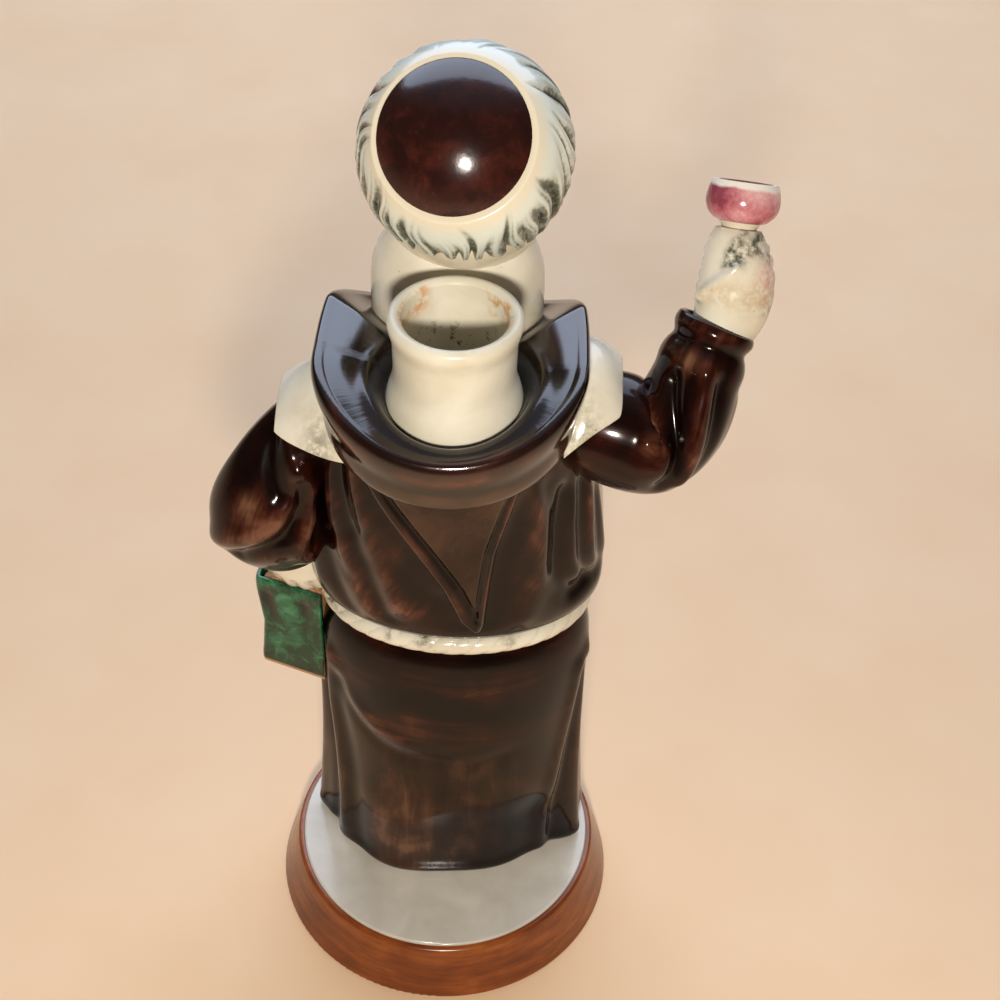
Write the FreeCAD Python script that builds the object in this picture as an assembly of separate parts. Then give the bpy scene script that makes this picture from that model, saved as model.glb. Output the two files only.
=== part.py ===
import FreeCAD, Part
import math
import os

# Glazed earthenware decanter in the form of a standing robed figure that raises a
# goblet. It faces -Y, its back is toward +Y and +Z is up. The foot of the plinth
# lies on Z = 0 and the axis of the plinth is the Z axis. Lengths are millimetres.

Vector = FreeCAD.Vector

# Plinth and the plate let into it
plinth_foot_radius = 57.0
plinth_rim_radius = 51.0
plinth_height = 19.0
plinth_floor = 4.0
plinth_edge_round = 1.4
plinth_foot_round = 0.6
plinth_land = 0.4
plate_thickness = 3.6
plate_rise = 0.8
plate_edge_round = 0.7
plate_ledge = 5.0
socket_gap = 0.1

# Figure on the plinth: its axis measured from the axis of the plinth
figure_side = -2.4
figure_forward = 8.0

# Robe, lower part
robe_wall = 5.0
skirt_height = 113.0
hem_half_width = 44.6
hem_back = 28.6
hem_front = 33.0
hip_half_width = 41.8
hip_back = 29.6
hip_front = 36.0
waist_half_width = 36.6
waist_back = 23.6
waist_front = 30.0
skirt_fold_depth = 2.0
skirt_fold_width = 2.6
skirt_fold_count = 11
skirt_fold_angle = 20.0

# Robe, upper part
trunk_height = 88.0
chest_half_width = 44.6
chest_back = 31.0
chest_front = 39.0
trunk_top_half_width = 31.0
trunk_top_margin = 1.6
trunk_top_front_reach = 9.4
trunk_fold_depth = 1.6
trunk_fold_width = 2.2
trunk_fold_count = 9
trunk_fold_twist_angle = 110.0

# Rope belt
rope_radius = 3.2
rope_bed = 1.1
rope_gap = 0.18

# Bottle neck
spout_bore_radius = 13.9
spout_shaft_radius = 16.2
spout_foot_radius = 18.3
spout_rim_radius = 17.5
spout_height = 32.2
spout_spigot_radius = 16.0
spout_spigot_length = 6.6
spout_gap = 2.7
spout_drill = 0.4

# Hood, folded down
collar_half_width = 36.8
collar_side = 1.4
collar_back_width = 11.6
collar_front_width = 4.6
collar_dip = 22.0
collar_middle_back = 16.0
collar_rise = 8.2
collar_drop = 13.0
collar_saddle = 4.6
tail_thickness = 3.2
tail_half_width = 32.4
tail_length = 75.0

# Shoulder cape
cape_thickness = 6.0
cape_inner = 25.0
cape_left_outer = 50.0
cape_right_outer = 45.0
cape_half_depth = 22.0
cape_left_drop = 13.0
cape_right_drop = 1.0
cape_right_lift = 6.5
cape_drape = 15.0
cape_middle_forward = 14.0
cape_set_down = 3.6

# Neck and head of the figure
neck_half_width = 24.2
neck_side = 1.5
neck_half_depth = 18.4
neck_height = 34.0
neck_sink = 16.0
neck_forward = 17.6
head_forward = 22.0
head_rise = 52.0
head_half_width = 24.0
head_half_depth = 25.0
head_below = 35.5
head_above = 26.4
nose_length = 15.0
nose_reach = 5.2
nose_radius = 3.4
cap_radius = 28.2
cap_thickness = 6.0
cap_edge_angle = 45.0
cap_tilt_angle = 42.0
cap_side_angle = 7.0
hair_radius = 29.2
hair_depth = 9.0
hair_edge_angle = 97.0

# Left arm, hanging, with the book
left_arm_out = 58.3
left_arm_back = 12.0
left_arm_drop = 67.9
left_sleeve_radius = 14.5
cuff_lip = 1.8
cuff_mouth_depth = 7.0
left_hand_half_width = 10.4
left_hand_half_depth = 6.6
left_hand_length = 26.0
book_width = 23.6
book_height = 43.0
book_thickness = 11.0
book_board = 1.8
book_page_inset = 1.2
book_corner_round = 2.2
book_turn_angle = 20.0
book_out = 3.1
book_back = 4.5

# Right arm, raised, with the goblet
right_arm_out = 68.4
right_arm_back = 6.0
right_elbow_drop = 21.8
right_arm_rise = 7.4
right_sleeve_radius = 17.4
right_hand_radius = 10.2
right_hand_length = 33.0
right_hand_sway = 3.0
goblet_forward_angle = 30.0
goblet_side_angle = 5.0
goblet_bowl_radius = 10.0
goblet_bowl_height = 10.8
goblet_wall = 1.5
goblet_stem_radius = 5.2
goblet_stem_length = 6.0
goblet_tenon_length = 5.0
goblet_tenon_radius = 3.0

# Rows of the robe, from the hem up. Each row gives its share of the height, how far
# it has gone from hem to hip, how far from hip to waist, and its share of the folds.
SKIRT_ROW_SHARES = (
    (0.00, 0.00, 0.00, 1.00),
    (0.07, 0.12, 0.00, 1.00),
    (0.20, 0.50, 0.00, 1.00),
    (0.38, 0.90, 0.00, 0.85),
    (0.56, 1.00, 0.00, 0.55),
    (0.72, 0.80, 0.00, 0.25),
    (0.85, 0.70, 0.02, 0.10),
    (0.93, 0.80, 0.22, 0.00),
    (0.97, 1.00, 0.72, 0.00),
    (1.00, 1.00, 1.00, 0.00),
)

# Rows of the trunk, from the belt up: share of the height, how far from waist to
# chest, how far from chest to the top, the share of the folds and of the squareness.
TRUNK_ROW_SHARES = (
    (0.00, 0.00, 0.00, 0.00, 0.00),
    (0.03, 0.32, 0.00, 0.00, 0.00),
    (0.08, 0.98, 0.00, 0.30, 0.20),
    (0.20, 1.06, 0.00, 1.00, 0.50),
    (0.38, 1.04, 0.08, 1.00, 0.80),
    (0.56, 1.00, 0.26, 0.90, 1.00),
    (0.74, 1.00, 0.50, 0.60, 1.00),
    (0.88, 1.00, 0.76, 0.25, 1.00),
    (0.96, 1.00, 0.93, 0.00, 1.00),
    (1.00, 1.00, 1.00, 0.00, 1.00),
)

# Rows of the hood ring, from its underside over the rim to the dish on top: share of
# the outer size, of the drop, of the rise, of the saddle and of the dip in front.
COLLAR_ROW_SHARES = (
    (0.62, 1.00, 0.00, 0.00, 0.00),
    (0.80, 1.00, 0.00, 0.00, 0.30),
    (0.92, 0.86, 0.00, 0.30, 0.80),
    (0.955, 0.35, 0.00, 0.70, 1.00),
    (0.93, 0.02, 0.10, 0.80, 1.00),
    (1.01, 0.00, 0.28, 1.00, 1.00),
    (1.02, 0.00, 0.90, 1.00, 1.00),
    (0.93, 0.00, 1.22, 1.00, 1.00),
    (0.80, 0.00, 0.92, 0.80, 0.80),
    (0.66, 0.00, 0.66, 0.40, 0.40),
    (0.54, 0.00, 0.64, 0.00, 0.00),
    (0.40, 0.00, 0.64, 0.00, 0.00),
)

# Outer line of the bottle neck: how far from shaft to foot, from shaft to rim and
# from shaft to bore, then the share of its height.
SPOUT_LINE_SHARES = (
    (1.00, 0.00, 0.00, 0.14),
    (0.70, 0.00, 0.00, 0.24),
    (0.12, 0.00, 0.00, 0.38),
    (0.00, 0.00, 0.00, 0.62),
    (0.00, 0.30, 0.00, 0.80),
    (0.00, 1.00, 0.00, 0.91),
    (0.00, 0.80, 0.00, 0.97),
    (0.00, 0.00, 0.20, 1.00),
    (0.00, 0.00, 0.72, 0.975),
    (0.00, 0.00, 1.00, 0.92),
)

# Rows of the figure's neck from the trunk up: share of the height and of the width.
NECK_ROW_SHARES = (
    (0.00, 1.00),
    (0.30, 1.00),
    (0.60, 1.02),
    (0.80, 0.98),
    (0.94, 0.80),
    (1.00, 0.62),
)

# Rows of the head from under the chin up: share of the height, of the half width,
# of the depth behind and of the depth in front.
HEAD_ROW_SHARES = (
    (0.00, 0.24, 0.20, 0.60),
    (0.03, 0.50, 0.45, 0.86),
    (0.14, 0.78, 0.74, 0.98),
    (0.30, 0.95, 0.95, 1.00),
    (0.46, 1.03, 1.02, 1.00),
    (0.62, 1.04, 1.03, 1.02),
    (0.78, 0.97, 0.96, 0.98),
    (0.91, 0.76, 0.74, 0.76),
    (0.985, 0.46, 0.44, 0.46),
    (1.00, 0.14, 0.14, 0.14),
)

# Skull cap from its crown to its edge: shares of the edge angle.
CAP_LINE_SHARES = (0.00, 0.25, 0.50, 0.75, 1.00)

# Hair from the cap to the nape: share of the way and of the radius.
HAIR_LINE_SHARES = (
    (0.00, 0.92),
    (0.06, 0.985),
    (0.30, 1.00),
    (0.60, 1.00),
    (0.86, 0.99),
    (0.96, 0.95),
    (1.00, 0.90),
)

# Left arm from inside the shoulder to the cuff: shares of the reach outward, of the
# set-back, of the drop and of the sleeve radius, across and deep.
LEFT_ARM_SHARES = (
    (0.48, 0.34, 0.245, 0.68, 0.60),
    (0.63, 0.42, 0.27, 0.88, 0.72),
    (0.76, 0.58, 0.38, 0.94, 0.74),
    (0.88, 0.83, 0.54, 1.00, 0.84),
    (0.95, 1.00, 0.73, 1.24, 1.04),
    (0.93, 0.85, 0.86, 1.16, 0.92),
    (0.88, 0.55, 0.955, 1.00, 0.74),
    (0.87, 0.40, 1.00, 0.88, 0.67),
)

# Right arm: shares of the reach outward, of the set-back, of the elbow's drop, of the
# rise to the cuff and of the sleeve radius.
RIGHT_ARM_SHARES = (
    (0.38, 0.66, 0.70, 0.00, 0.76),
    (0.55, 0.84, 0.71, 0.00, 0.92),
    (0.70, 1.00, 0.86, 0.00, 1.00),
    (0.82, 1.00, 1.00, 0.00, 0.98),
    (0.90, 0.66, 0.71, 0.00, 0.86),
    (0.945, 0.16, 0.215, 0.00, 0.72),
    (0.975, -0.48, 0.00, 0.38, 0.63),
    (1.005, -0.92, 0.00, 1.00, 0.61),
)

# Cape corners from under the hood outward: share of the way out, of the half depth,
# of the drop, of the drape over the shoulder and of the thickness.
CAPE_ROW_SHARES = (
    (0.00, 1.10, 0.00, 1.20, 1.00),
    (0.20, 1.08, 0.06, 1.16, 1.00),
    (0.45, 1.00, 0.22, 1.00, 1.00),
    (0.70, 0.86, 0.50, 0.70, 0.95),
    (0.90, 0.72, 0.80, 0.42, 0.85),
    (1.00, 0.60, 0.96, 0.24, 0.50),
)

# Right hand along its own line: share of the length and of the radius, across and deep.
RIGHT_HAND_SHARES = (
    (0.00, 0.76, 0.76),
    (0.14, 0.76, 0.76),
    (0.32, 0.92, 0.84),
    (0.52, 1.08, 0.96),
    (0.72, 1.06, 1.00),
    (0.88, 0.90, 0.94),
    (0.97, 0.78, 0.80),
    (1.00, 0.60, 0.60),
)

# Left hand: share of the length, of the half width and of the half depth.
LEFT_HAND_SHARES = (
    (0.00, 0.72, 0.84),
    (0.25, 0.74, 0.88),
    (0.45, 0.96, 1.00),
    (0.70, 1.06, 1.00),
    (0.90, 1.00, 0.85),
    (1.00, 0.76, 0.60),
)

# Goblet bowl: shares of the radius and of the height, outside from the stem up.
BOWL_LINE_SHARES = (
    (0.57, 0.00),
    (0.82, 0.12),
    (0.98, 0.36),
    (1.00, 0.60),
    (0.90, 1.00),
)
STEM_LINE_SHARES = (
    (1.04, 0.00),
    (0.90, 0.25),
    (0.84, 0.50),
    (0.92, 0.75),
    (1.10, 1.00),
)

# Tail of the hood, from its upper left corner round the tip: share of the half width
# toward the left and share of the length.
TAIL_LINE_SHARES = (
    (1.00, 0.00),
    (0.72, 0.22),
    (0.34, 0.53),
    (0.09, 0.74),
    (-0.07, 0.93),
    (-0.18, 0.99),
    (-0.26, 1.00),
    (-0.31, 0.95),
    (-0.35, 0.74),
    (-0.40, 0.53),
    (-0.56, 0.22),
    (-0.70, 0.00),
)

# Main folds of the lower robe: share of the fold depth, outward, and of the fold width,
# then the places that the fold runs through, as shares of a turn and of the height.
# The turn starts at the left hand and goes round by the back.
SKIRT_FOLD_SHARES = (
    (1.00, 1.15, ((0.011, 0.85), (0.006, 0.62), (0.010, 0.36), (0.006, 0.02))),
    (-1.30, 1.00, ((0.042, 0.80), (0.036, 0.60), (0.050, 0.41), (0.061, 0.22), (0.064, 0.01))),
    (1.00, 0.85, ((0.067, 0.82), (0.061, 0.62), (0.078, 0.44), (0.089, 0.27), (0.100, 0.06))),
    (-0.40, 0.95, ((0.095, 0.76), (0.088, 0.64), (0.106, 0.46), (0.119, 0.27), (0.130, 0.04))),
    (0.55, 1.00, ((0.083, 0.80), (0.111, 0.70), (0.153, 0.63), (0.194, 0.59))),
    (-0.60, 0.80, ((0.092, 0.74), (0.128, 0.63), (0.167, 0.57), (0.197, 0.54))),
    (1.30, 4.00, ((0.186, 0.26), (0.184, 0.00))),
    (-0.40, 0.65, ((0.200, 0.55), (0.244, 0.54), (0.272, 0.53), (0.322, 0.56))),
    (-1.50, 3.40, ((0.364, 0.22), (0.370, 0.00))),
    (1.10, 0.90, ((0.439, 0.80), (0.422, 0.58), (0.403, 0.37), (0.386, 0.20), (0.380, 0.04))),
    (-1.20, 1.15, ((0.456, 0.76), (0.439, 0.57), (0.419, 0.36), (0.406, 0.18), (0.402, 0.03))),
    (0.80, 1.10, ((0.467, 0.82), (0.458, 0.53), (0.450, 0.27), (0.447, 0.01))),
    (-1.00, 0.90, ((0.489, 0.80), (0.483, 0.45), (0.478, 0.02))),
    (0.50, 1.50, ((0.528, 0.70), (0.528, 0.02))),
)

# Main folds of the upper robe, in the same terms.
TRUNK_FOLD_SHARES = (
    (-0.90, 1.00, ((0.150, 0.86), (0.178, 0.72), (0.208, 0.55), (0.232, 0.37), (0.255, 0.16))),
    (-0.90, 0.90, ((0.350, 0.90), (0.317, 0.72), (0.297, 0.55), (0.286, 0.31), (0.286, 0.17))),
    (0.90, 1.10, ((0.120, 0.84), (0.155, 0.65), (0.185, 0.42), (0.205, 0.22))),
    (-0.85, 0.90, ((0.097, 0.82), (0.133, 0.60), (0.165, 0.39), (0.190, 0.15))),
    (0.80, 1.20, ((0.072, 0.75), (0.108, 0.56), (0.142, 0.37), (0.169, 0.16))),
    (-0.80, 0.90, ((0.055, 0.65), (0.083, 0.47), (0.111, 0.31), (0.136, 0.14))),
    (0.70, 1.20, ((0.031, 0.56), (0.058, 0.38), (0.086, 0.20))),
    (0.80, 1.40, ((0.336, 0.83), (0.344, 0.62), (0.339, 0.38), (0.322, 0.18))),
    (-0.80, 1.05, ((0.364, 0.80), (0.364, 0.56), (0.356, 0.34))),
    (-1.90, 1.10, ((0.392, 0.72), (0.372, 0.56), (0.364, 0.41), (0.372, 0.28), (0.392, 0.21), (0.411, 0.24))),
    (0.90, 0.80, ((0.417, 0.74), (0.394, 0.56), (0.386, 0.40), (0.394, 0.31))),
    (-1.50, 0.90, ((0.425, 0.72), (0.408, 0.54), (0.406, 0.38), (0.420, 0.26), (0.440, 0.23))),
    (0.90, 0.75, ((0.447, 0.65), (0.428, 0.49), (0.425, 0.37), (0.433, 0.30))),
    (-1.00, 0.70, ((0.464, 0.58), (0.447, 0.45), (0.442, 0.33), (0.453, 0.26))),
    (0.80, 0.80, ((0.480, 0.58), (0.466, 0.42), (0.466, 0.29))),
    (0.80, 1.40, ((0.656, 0.82), (0.678, 0.54), (0.694, 0.20))),
    (-0.75, 1.10, ((0.683, 0.83), (0.700, 0.54), (0.711, 0.17))),
    (0.75, 1.30, ((0.711, 0.76), (0.725, 0.48), (0.731, 0.15))),
    (-0.75, 1.00, ((0.742, 0.72), (0.746, 0.45), (0.746, 0.15))),
    (0.75, 1.30, ((0.778, 0.74), (0.769, 0.48), (0.761, 0.15))),
    (-0.75, 1.10, ((0.806, 0.81), (0.794, 0.51), (0.781, 0.17))),
    (0.80, 1.40, ((0.842, 0.82), (0.819, 0.54), (0.803, 0.20))),
)

# Powers
collar_fall_power = 1.3

# Counts of places round a skin
robe_place_count = 96
collar_place_count = 48
fold_knot_count = 3
round_place_count = 24
limb_place_count = 16
rope_place_count = 40
rope_bed_step_count = 2

# Shares used alone
fold_main_share = 0.62
fold_minor_share = 0.38
fold_minor_count_step = 4
collar_corner_share = 0.62
collar_level_share = 0.44
trunk_corner_share = 0.80
fold_fade_share = 0.10

# Places worked out from the sizes
axis_x = figure_side
axis_y = -figure_forward
plate_radius = plinth_rim_radius - plinth_edge_round - plinth_land
plate_top_z = plinth_height + plate_rise
waist_z = plate_top_z + skirt_height
trunk_top_z = waist_z + trunk_height
neck_y = axis_y - neck_forward
spout_y = neck_y + neck_half_depth + spout_gap + spout_foot_radius
trunk_top_back = spout_y + spout_foot_radius + trunk_top_margin - axis_y
trunk_top_front = neck_forward + trunk_top_front_reach
collar_back_y = spout_y + spout_foot_radius + collar_back_width
collar_front_y = neck_y - neck_half_depth - collar_front_width
collar_y = axis_y + collar_middle_back
collar_back = collar_back_y - collar_y
collar_front = collar_y - collar_front_y
head_place = Vector(axis_x, axis_y - head_forward, trunk_top_z + head_rise)
cap_tilt = math.radians(cap_tilt_angle)
cap_side = math.radians(cap_side_angle)
cap_axis = Vector(
    math.sin(cap_side),
    math.cos(cap_side) * math.cos(cap_tilt),
    math.cos(cap_side) * math.sin(cap_tilt),
)


def angles(count):
    """Angles of evenly spread places round a full turn."""
    return [2 * math.pi * place / count for place in range(count)]


def blend(start, end, share):
    """Value that lies a share of the way from start to end."""
    return start + (end - start) * share


def skin(rows):
    """Smooth surface through rings of poles, closed around."""
    around = len(rows[0])
    along = len(rows)
    poles = [[row[place] for row in rows] for place in range(around)]
    surface = Part.BSplineSurface()
    surface.buildFromPolesMultsKnots(
        poles,
        [1] * (around + 1),
        [4] + [1] * (along - 4) + [4],
        list(range(around + 1)),
        list(range(along - 2)),
        True,
        False,
        3,
        3,
    )
    return surface


def closed_skin(rows):
    """Solid bounded by one smooth skin through rings of poles and by two flat ends."""
    return capped(skin(rows))


def capped(surface):
    """Solid bounded by a surface that is closed around and by two flat ends."""
    face = surface.toShape()
    ends = [Part.Face(Part.Wire([edge])) for edge in face.Edges if edge.isClosed()]
    return solid_of([face] + ends)


def solid_of(faces):
    """Solid from faces that share their edges."""
    shell = Part.Shell(faces)
    shell.sewShape()
    solid = Part.Solid(shell)
    if solid.Volume < 0:
        solid.reverse()
    return solid


def largest(shape):
    """Largest solid of a shape, without the slivers a cut may leave."""
    return max(shape.Solids, key=lambda solid: solid.Volume)


def fold(angle, count, turn, depth):
    """Depth of the even cloth folds at an angle round the figure, fading toward the back."""
    main = fold_main_share * math.cos(count * angle + turn)
    minor = fold_minor_share * math.cos((count - fold_minor_count_step) * angle - turn)
    return depth * (main + minor) * (1 - math.sin(angle)) / 2


def distance_to_run(across, up, run):
    """Least distance from a place to a line of places, all as lengths across and up."""
    least = math.inf
    for (first, low), (second, high) in zip(run[:-1], run[1:]):
        step = (second - first, high - low)
        share = ((across - first) * step[0] + (up - low) * step[1]) / (step[0] ** 2 + step[1] ** 2)
        share = min(1, max(0, share))
        least = min(least, math.hypot(across - first - share * step[0], up - low - share * step[1]))
    return least


def pressed_skin(rows, folds, depth, width, bottom, height, girth, below):
    """Solid of a robe whose skin is refined along its length and whose poles are then
    moved out or in by its main folds, each of which fades like a bell from its run. The
    folds keep clear of the belt, and of a foot that has no room below it."""
    surface = skin(rows)
    knots = surface.getVKnots()
    added = []
    for low, high in zip(knots[:-1], knots[1:]):
        added += [blend(low, high, (step + 1) / (fold_knot_count + 1)) for step in range(fold_knot_count)]
    surface.insertVKnots(added, [1] * len(added), 0, True)
    runs = [
        (depth * deep, width * wide, [(girth * turn, height * up) for turn, up in places])
        for deep, wide, places in folds
    ]
    for place, angle in enumerate(angles(len(rows[0]))):
        across = girth * angle / (2 * math.pi)
        for row in range(surface.NbVPoles):
            pole = surface.getPole(place + 1, row + 1)
            up = pole.z - bottom
            fade = (min(up + below, height - up) - rope_radius) / (height * fold_fade_share)
            lift = sum(
                deep * math.exp(-(distance_to_run(across + lap, up, run) / wide) ** 2)
                for deep, wide, run in runs
                for lap in (0, -girth)
            )
            outward = Vector(pole.x - axis_x, pole.y - axis_y, 0)
            outward.normalize()
            surface.setPole(place + 1, row + 1, pole + outward * (lift * min(1, max(0, fade))))
    return capped(surface)


def robe_ring(z, half_width, back, front, corner, lift):
    """Ring of poles of the robe: two half ovals, squarer as the corner power falls from 1."""
    ring = []
    for angle in angles(robe_place_count):
        depth = back if math.sin(angle) > 0 else front
        side = math.copysign(abs(math.cos(angle)) ** corner, math.cos(angle))
        behind = math.copysign(abs(math.sin(angle)) ** corner, math.sin(angle))
        normal = Vector(math.cos(angle) / half_width, math.sin(angle) / depth, 0)
        normal.normalize()
        point = Vector(axis_x + half_width * side, axis_y + depth * behind, z)
        ring.append(point + normal * lift(angle))
    return ring


def skirt_rows(lift, folded):
    """Rows of the lower robe, lifted by a length, with or without its folds."""
    rows = []
    for height, to_hip, to_waist, folds in SKIRT_ROW_SHARES:
        half_width = blend(blend(hem_half_width, hip_half_width, to_hip), waist_half_width, to_waist)
        back = blend(blend(hem_back, hip_back, to_hip), waist_back, to_waist)
        front = blend(blend(hem_front, hip_front, to_hip), waist_front, to_waist)
        depth = skirt_fold_depth * folds * folded
        turn = math.radians(skirt_fold_angle)
        rows.append(
            robe_ring(
                plate_top_z + skirt_height * height,
                half_width,
                back,
                front,
                1,
                lambda angle, d=depth: lift + fold(angle, skirt_fold_count, turn, d),
            )
        )
    return rows


def trunk_rows(lift, folded, height_of_rows):
    """Rows of the upper robe, lifted by a length, with or without its folds."""
    rows = []
    for height, to_chest, to_top, folds, square in TRUNK_ROW_SHARES:
        half_width = blend(blend(waist_half_width, chest_half_width, to_chest), trunk_top_half_width, to_top)
        back = blend(blend(waist_back, chest_back, to_chest), trunk_top_back, to_top)
        front = blend(blend(waist_front, chest_front, to_chest), trunk_top_front, to_top)
        depth = trunk_fold_depth * folds * folded
        turn = math.radians(trunk_fold_twist_angle) * height
        rows.append(
            robe_ring(
                waist_z + height_of_rows * height,
                half_width,
                back,
                front,
                blend(1, trunk_corner_share, square),
                lambda angle, d=depth, t=turn: lift + fold(angle, trunk_fold_count, t, d),
            )
        )
    return rows


def oval_ring(centre, across, deep, half_across, half_deep, count):
    """Ring of poles on an ellipse in the plane of two directions."""
    return [
        centre + across * (half_across * math.cos(angle)) + deep * (half_deep * math.sin(angle))
        for angle in angles(count)
    ]


def limb_rows(centres, half_widths, half_depths):
    """Rings of poles square to a line of centres."""
    rows = []
    last = len(centres) - 1
    for place, centre in enumerate(centres):
        ahead = centres[min(place + 1, last)] - centres[max(place - 1, 0)]
        ahead.normalize()
        across = Vector(0, 1, 0).cross(ahead)
        across.normalize()
        deep = ahead.cross(across)
        rows.append(oval_ring(centre, across, deep, half_widths[place], half_depths[place], limb_place_count))
    return rows


def turned(line, corners, place, axis):
    """Solid turned about an axis: a smooth line of points closed by straight corners."""
    curve = Part.BSplineCurve()
    curve.interpolate(line)
    edges = [curve.toShape()]
    ring = [line[-1]] + corners + [line[0]]
    for start, end in zip(ring[:-1], ring[1:]):
        edges.append(Part.makeLine(start, end))
    face = Part.Face(Part.Wire(edges))
    solid = face.revolve(Vector(0, 0, 0), Vector(0, 0, 1), 360)
    solid.Placement = FreeCAD.Placement(place, FreeCAD.Rotation(Vector(0, 0, 1), axis))
    return solid


def write(name, shape):
    """One node, one file."""
    largest(shape).exportStep("parts/" + name + ".step")


os.makedirs("parts", exist_ok=True)

# Plinth: a shallow tray with a sloped side, rebated at the rim for the plate
rebate_radius = plate_radius + socket_gap
rebate_z = plate_top_z - plate_thickness
ledge_radius = rebate_radius - plate_ledge
plinth_points = [
    Vector(0, 0, 0),
    Vector(plinth_foot_radius, 0, 0),
    Vector(plinth_rim_radius, 0, plinth_height),
    Vector(rebate_radius, 0, plinth_height),
    Vector(rebate_radius, 0, rebate_z),
    Vector(ledge_radius, 0, rebate_z),
    Vector(ledge_radius, 0, plinth_floor),
    Vector(0, 0, plinth_floor),
    Vector(0, 0, 0),
]
plinth = Part.Face(Part.makePolygon(plinth_points)).revolve(Vector(0, 0, 0), Vector(0, 0, 1), 360)
rim_edges = [
    edge
    for edge in plinth.Edges
    if edge.BoundBox.ZMin > rebate_z + plate_rise
    and edge.BoundBox.XMax > rebate_radius + plinth_land
    and edge.isClosed()
]
plinth = plinth.makeFillet(plinth_edge_round, rim_edges)
foot_edges = [
    edge
    for edge in plinth.Edges
    if edge.BoundBox.ZMax < plinth_foot_round
    and edge.BoundBox.XMax > plinth_foot_radius - plinth_foot_round
]
plinth = plinth.makeFillet(plinth_foot_round, foot_edges)
write("plinth", plinth)

# Plate: a disc with a soft upper edge, standing a little proud of the plinth
plate = Part.makeCylinder(plate_radius, plate_thickness, Vector(0, 0, rebate_z))
upper_edges = [edge for edge in plate.Edges if edge.BoundBox.ZMin > rebate_z + plate_edge_round]
plate = plate.makeFillet(plate_edge_round, upper_edges)
write("plinth_plate", plate)

# Lower robe: folded outside, plain inside, open below onto the plate
hip_girth = math.pi * (hip_half_width + (hip_back + hip_front) / 2)
skirt_solid = pressed_skin(
    skirt_rows(0, 1),
    SKIRT_FOLD_SHARES,
    skirt_fold_depth,
    skirt_fold_width,
    plate_top_z,
    skirt_height,
    hip_girth,
    skirt_height,
)
skirt_hollow = closed_skin(skirt_rows(-robe_wall, 0))
skirt = skirt_solid.cut(skirt_hollow)
write("robe_skirt", skirt)

# Upper robe: hollow up to its top wall, with a hole for the bottle neck
chest_girth = math.pi * (chest_half_width + (chest_back + chest_front) / 2)
trunk_solid = pressed_skin(
    trunk_rows(0, 1, trunk_height),
    TRUNK_FOLD_SHARES,
    trunk_fold_depth,
    trunk_fold_width,
    waist_z,
    trunk_height,
    chest_girth,
    0,
)
trunk_hollow = closed_skin(trunk_rows(-robe_wall, 0, trunk_height - robe_wall))
spout_place = Vector(axis_x, spout_y, 0)
spout_hole = Part.makeCylinder(
    spout_spigot_radius + socket_gap,
    robe_wall + spout_spigot_length,
    Vector(axis_x, spout_y, trunk_top_z - spout_spigot_length),
)
trunk = trunk_solid.cut(trunk_hollow).cut(spout_hole)
write("robe_trunk", trunk)

# Rope belt: a round cord lying in the groove between the two parts of the robe
rope_line = []
for turn in angles(rope_place_count):
    half_width = waist_half_width + rope_radius - rope_bed
    depth = (waist_back if math.sin(turn) > 0 else waist_front) + rope_radius - rope_bed
    rope_line.append(
        Vector(axis_x + half_width * math.cos(turn), axis_y + depth * math.sin(turn), waist_z)
    )
rope_curve = Part.BSplineCurve()
rope_curve.interpolate(rope_line, PeriodicFlag=True)
rope_end = Part.Wire([Part.makeCircle(rope_radius, rope_line[0], Vector(0, 1, 0))])
rope = Part.Wire([rope_curve.toShape()]).makePipeShell([rope_end], True, True)
rope_bed_rows = [row[::rope_bed_step_count] for row in trunk_rows(rope_gap, 0, trunk_height)]
rope_bed_skin = closed_skin(rope_bed_rows)
rope = rope.cut(skirt_solid).cut(rope_bed_skin)
write("rope_belt", rope)

# Bottle neck: spigot in the trunk, flared foot, straight shaft, rolled rim, drilled bore
spout_core_radius = spout_bore_radius - spout_drill
spout_line = []
for to_foot, to_rim, to_bore, height in SPOUT_LINE_SHARES:
    radius = blend(spout_shaft_radius, spout_foot_radius, to_foot)
    radius = blend(radius, spout_rim_radius, to_rim)
    radius = blend(radius, spout_core_radius, to_bore)
    spout_line.append(Vector(radius, 0, trunk_top_z + spout_height * height))
spout_corners = [
    Vector(spout_core_radius, 0, trunk_top_z - spout_spigot_length),
    Vector(spout_spigot_radius, 0, trunk_top_z - spout_spigot_length),
    Vector(spout_spigot_radius, 0, trunk_top_z),
    Vector(spout_foot_radius, 0, trunk_top_z),
]
spout_bore = Part.makeCylinder(
    spout_bore_radius,
    2 * spout_spigot_length + spout_height,
    Vector(axis_x, spout_y, trunk_top_z - 2 * spout_spigot_length),
)
spout = turned(spout_line, spout_corners, spout_place, Vector(0, 0, 1)).cut(spout_bore)
write("spout", spout)

# Neck of the figure: an oval column on the top wall of the trunk
neck_place = Vector(axis_x + neck_side, neck_y, trunk_top_z - neck_sink)
neck_rows = []
for height, wide in NECK_ROW_SHARES:
    neck_rows.append(
        oval_ring(
            neck_place + Vector(0, 0, (neck_sink + neck_height) * height),
            Vector(1, 0, 0),
            Vector(0, 1, 0),
            neck_half_width * wide,
            neck_half_depth * wide,
            round_place_count,
        )
    )
neck_solid = closed_skin(neck_rows)
neck = largest(neck_solid.cut(trunk_solid))
write("figure_neck", neck)

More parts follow.
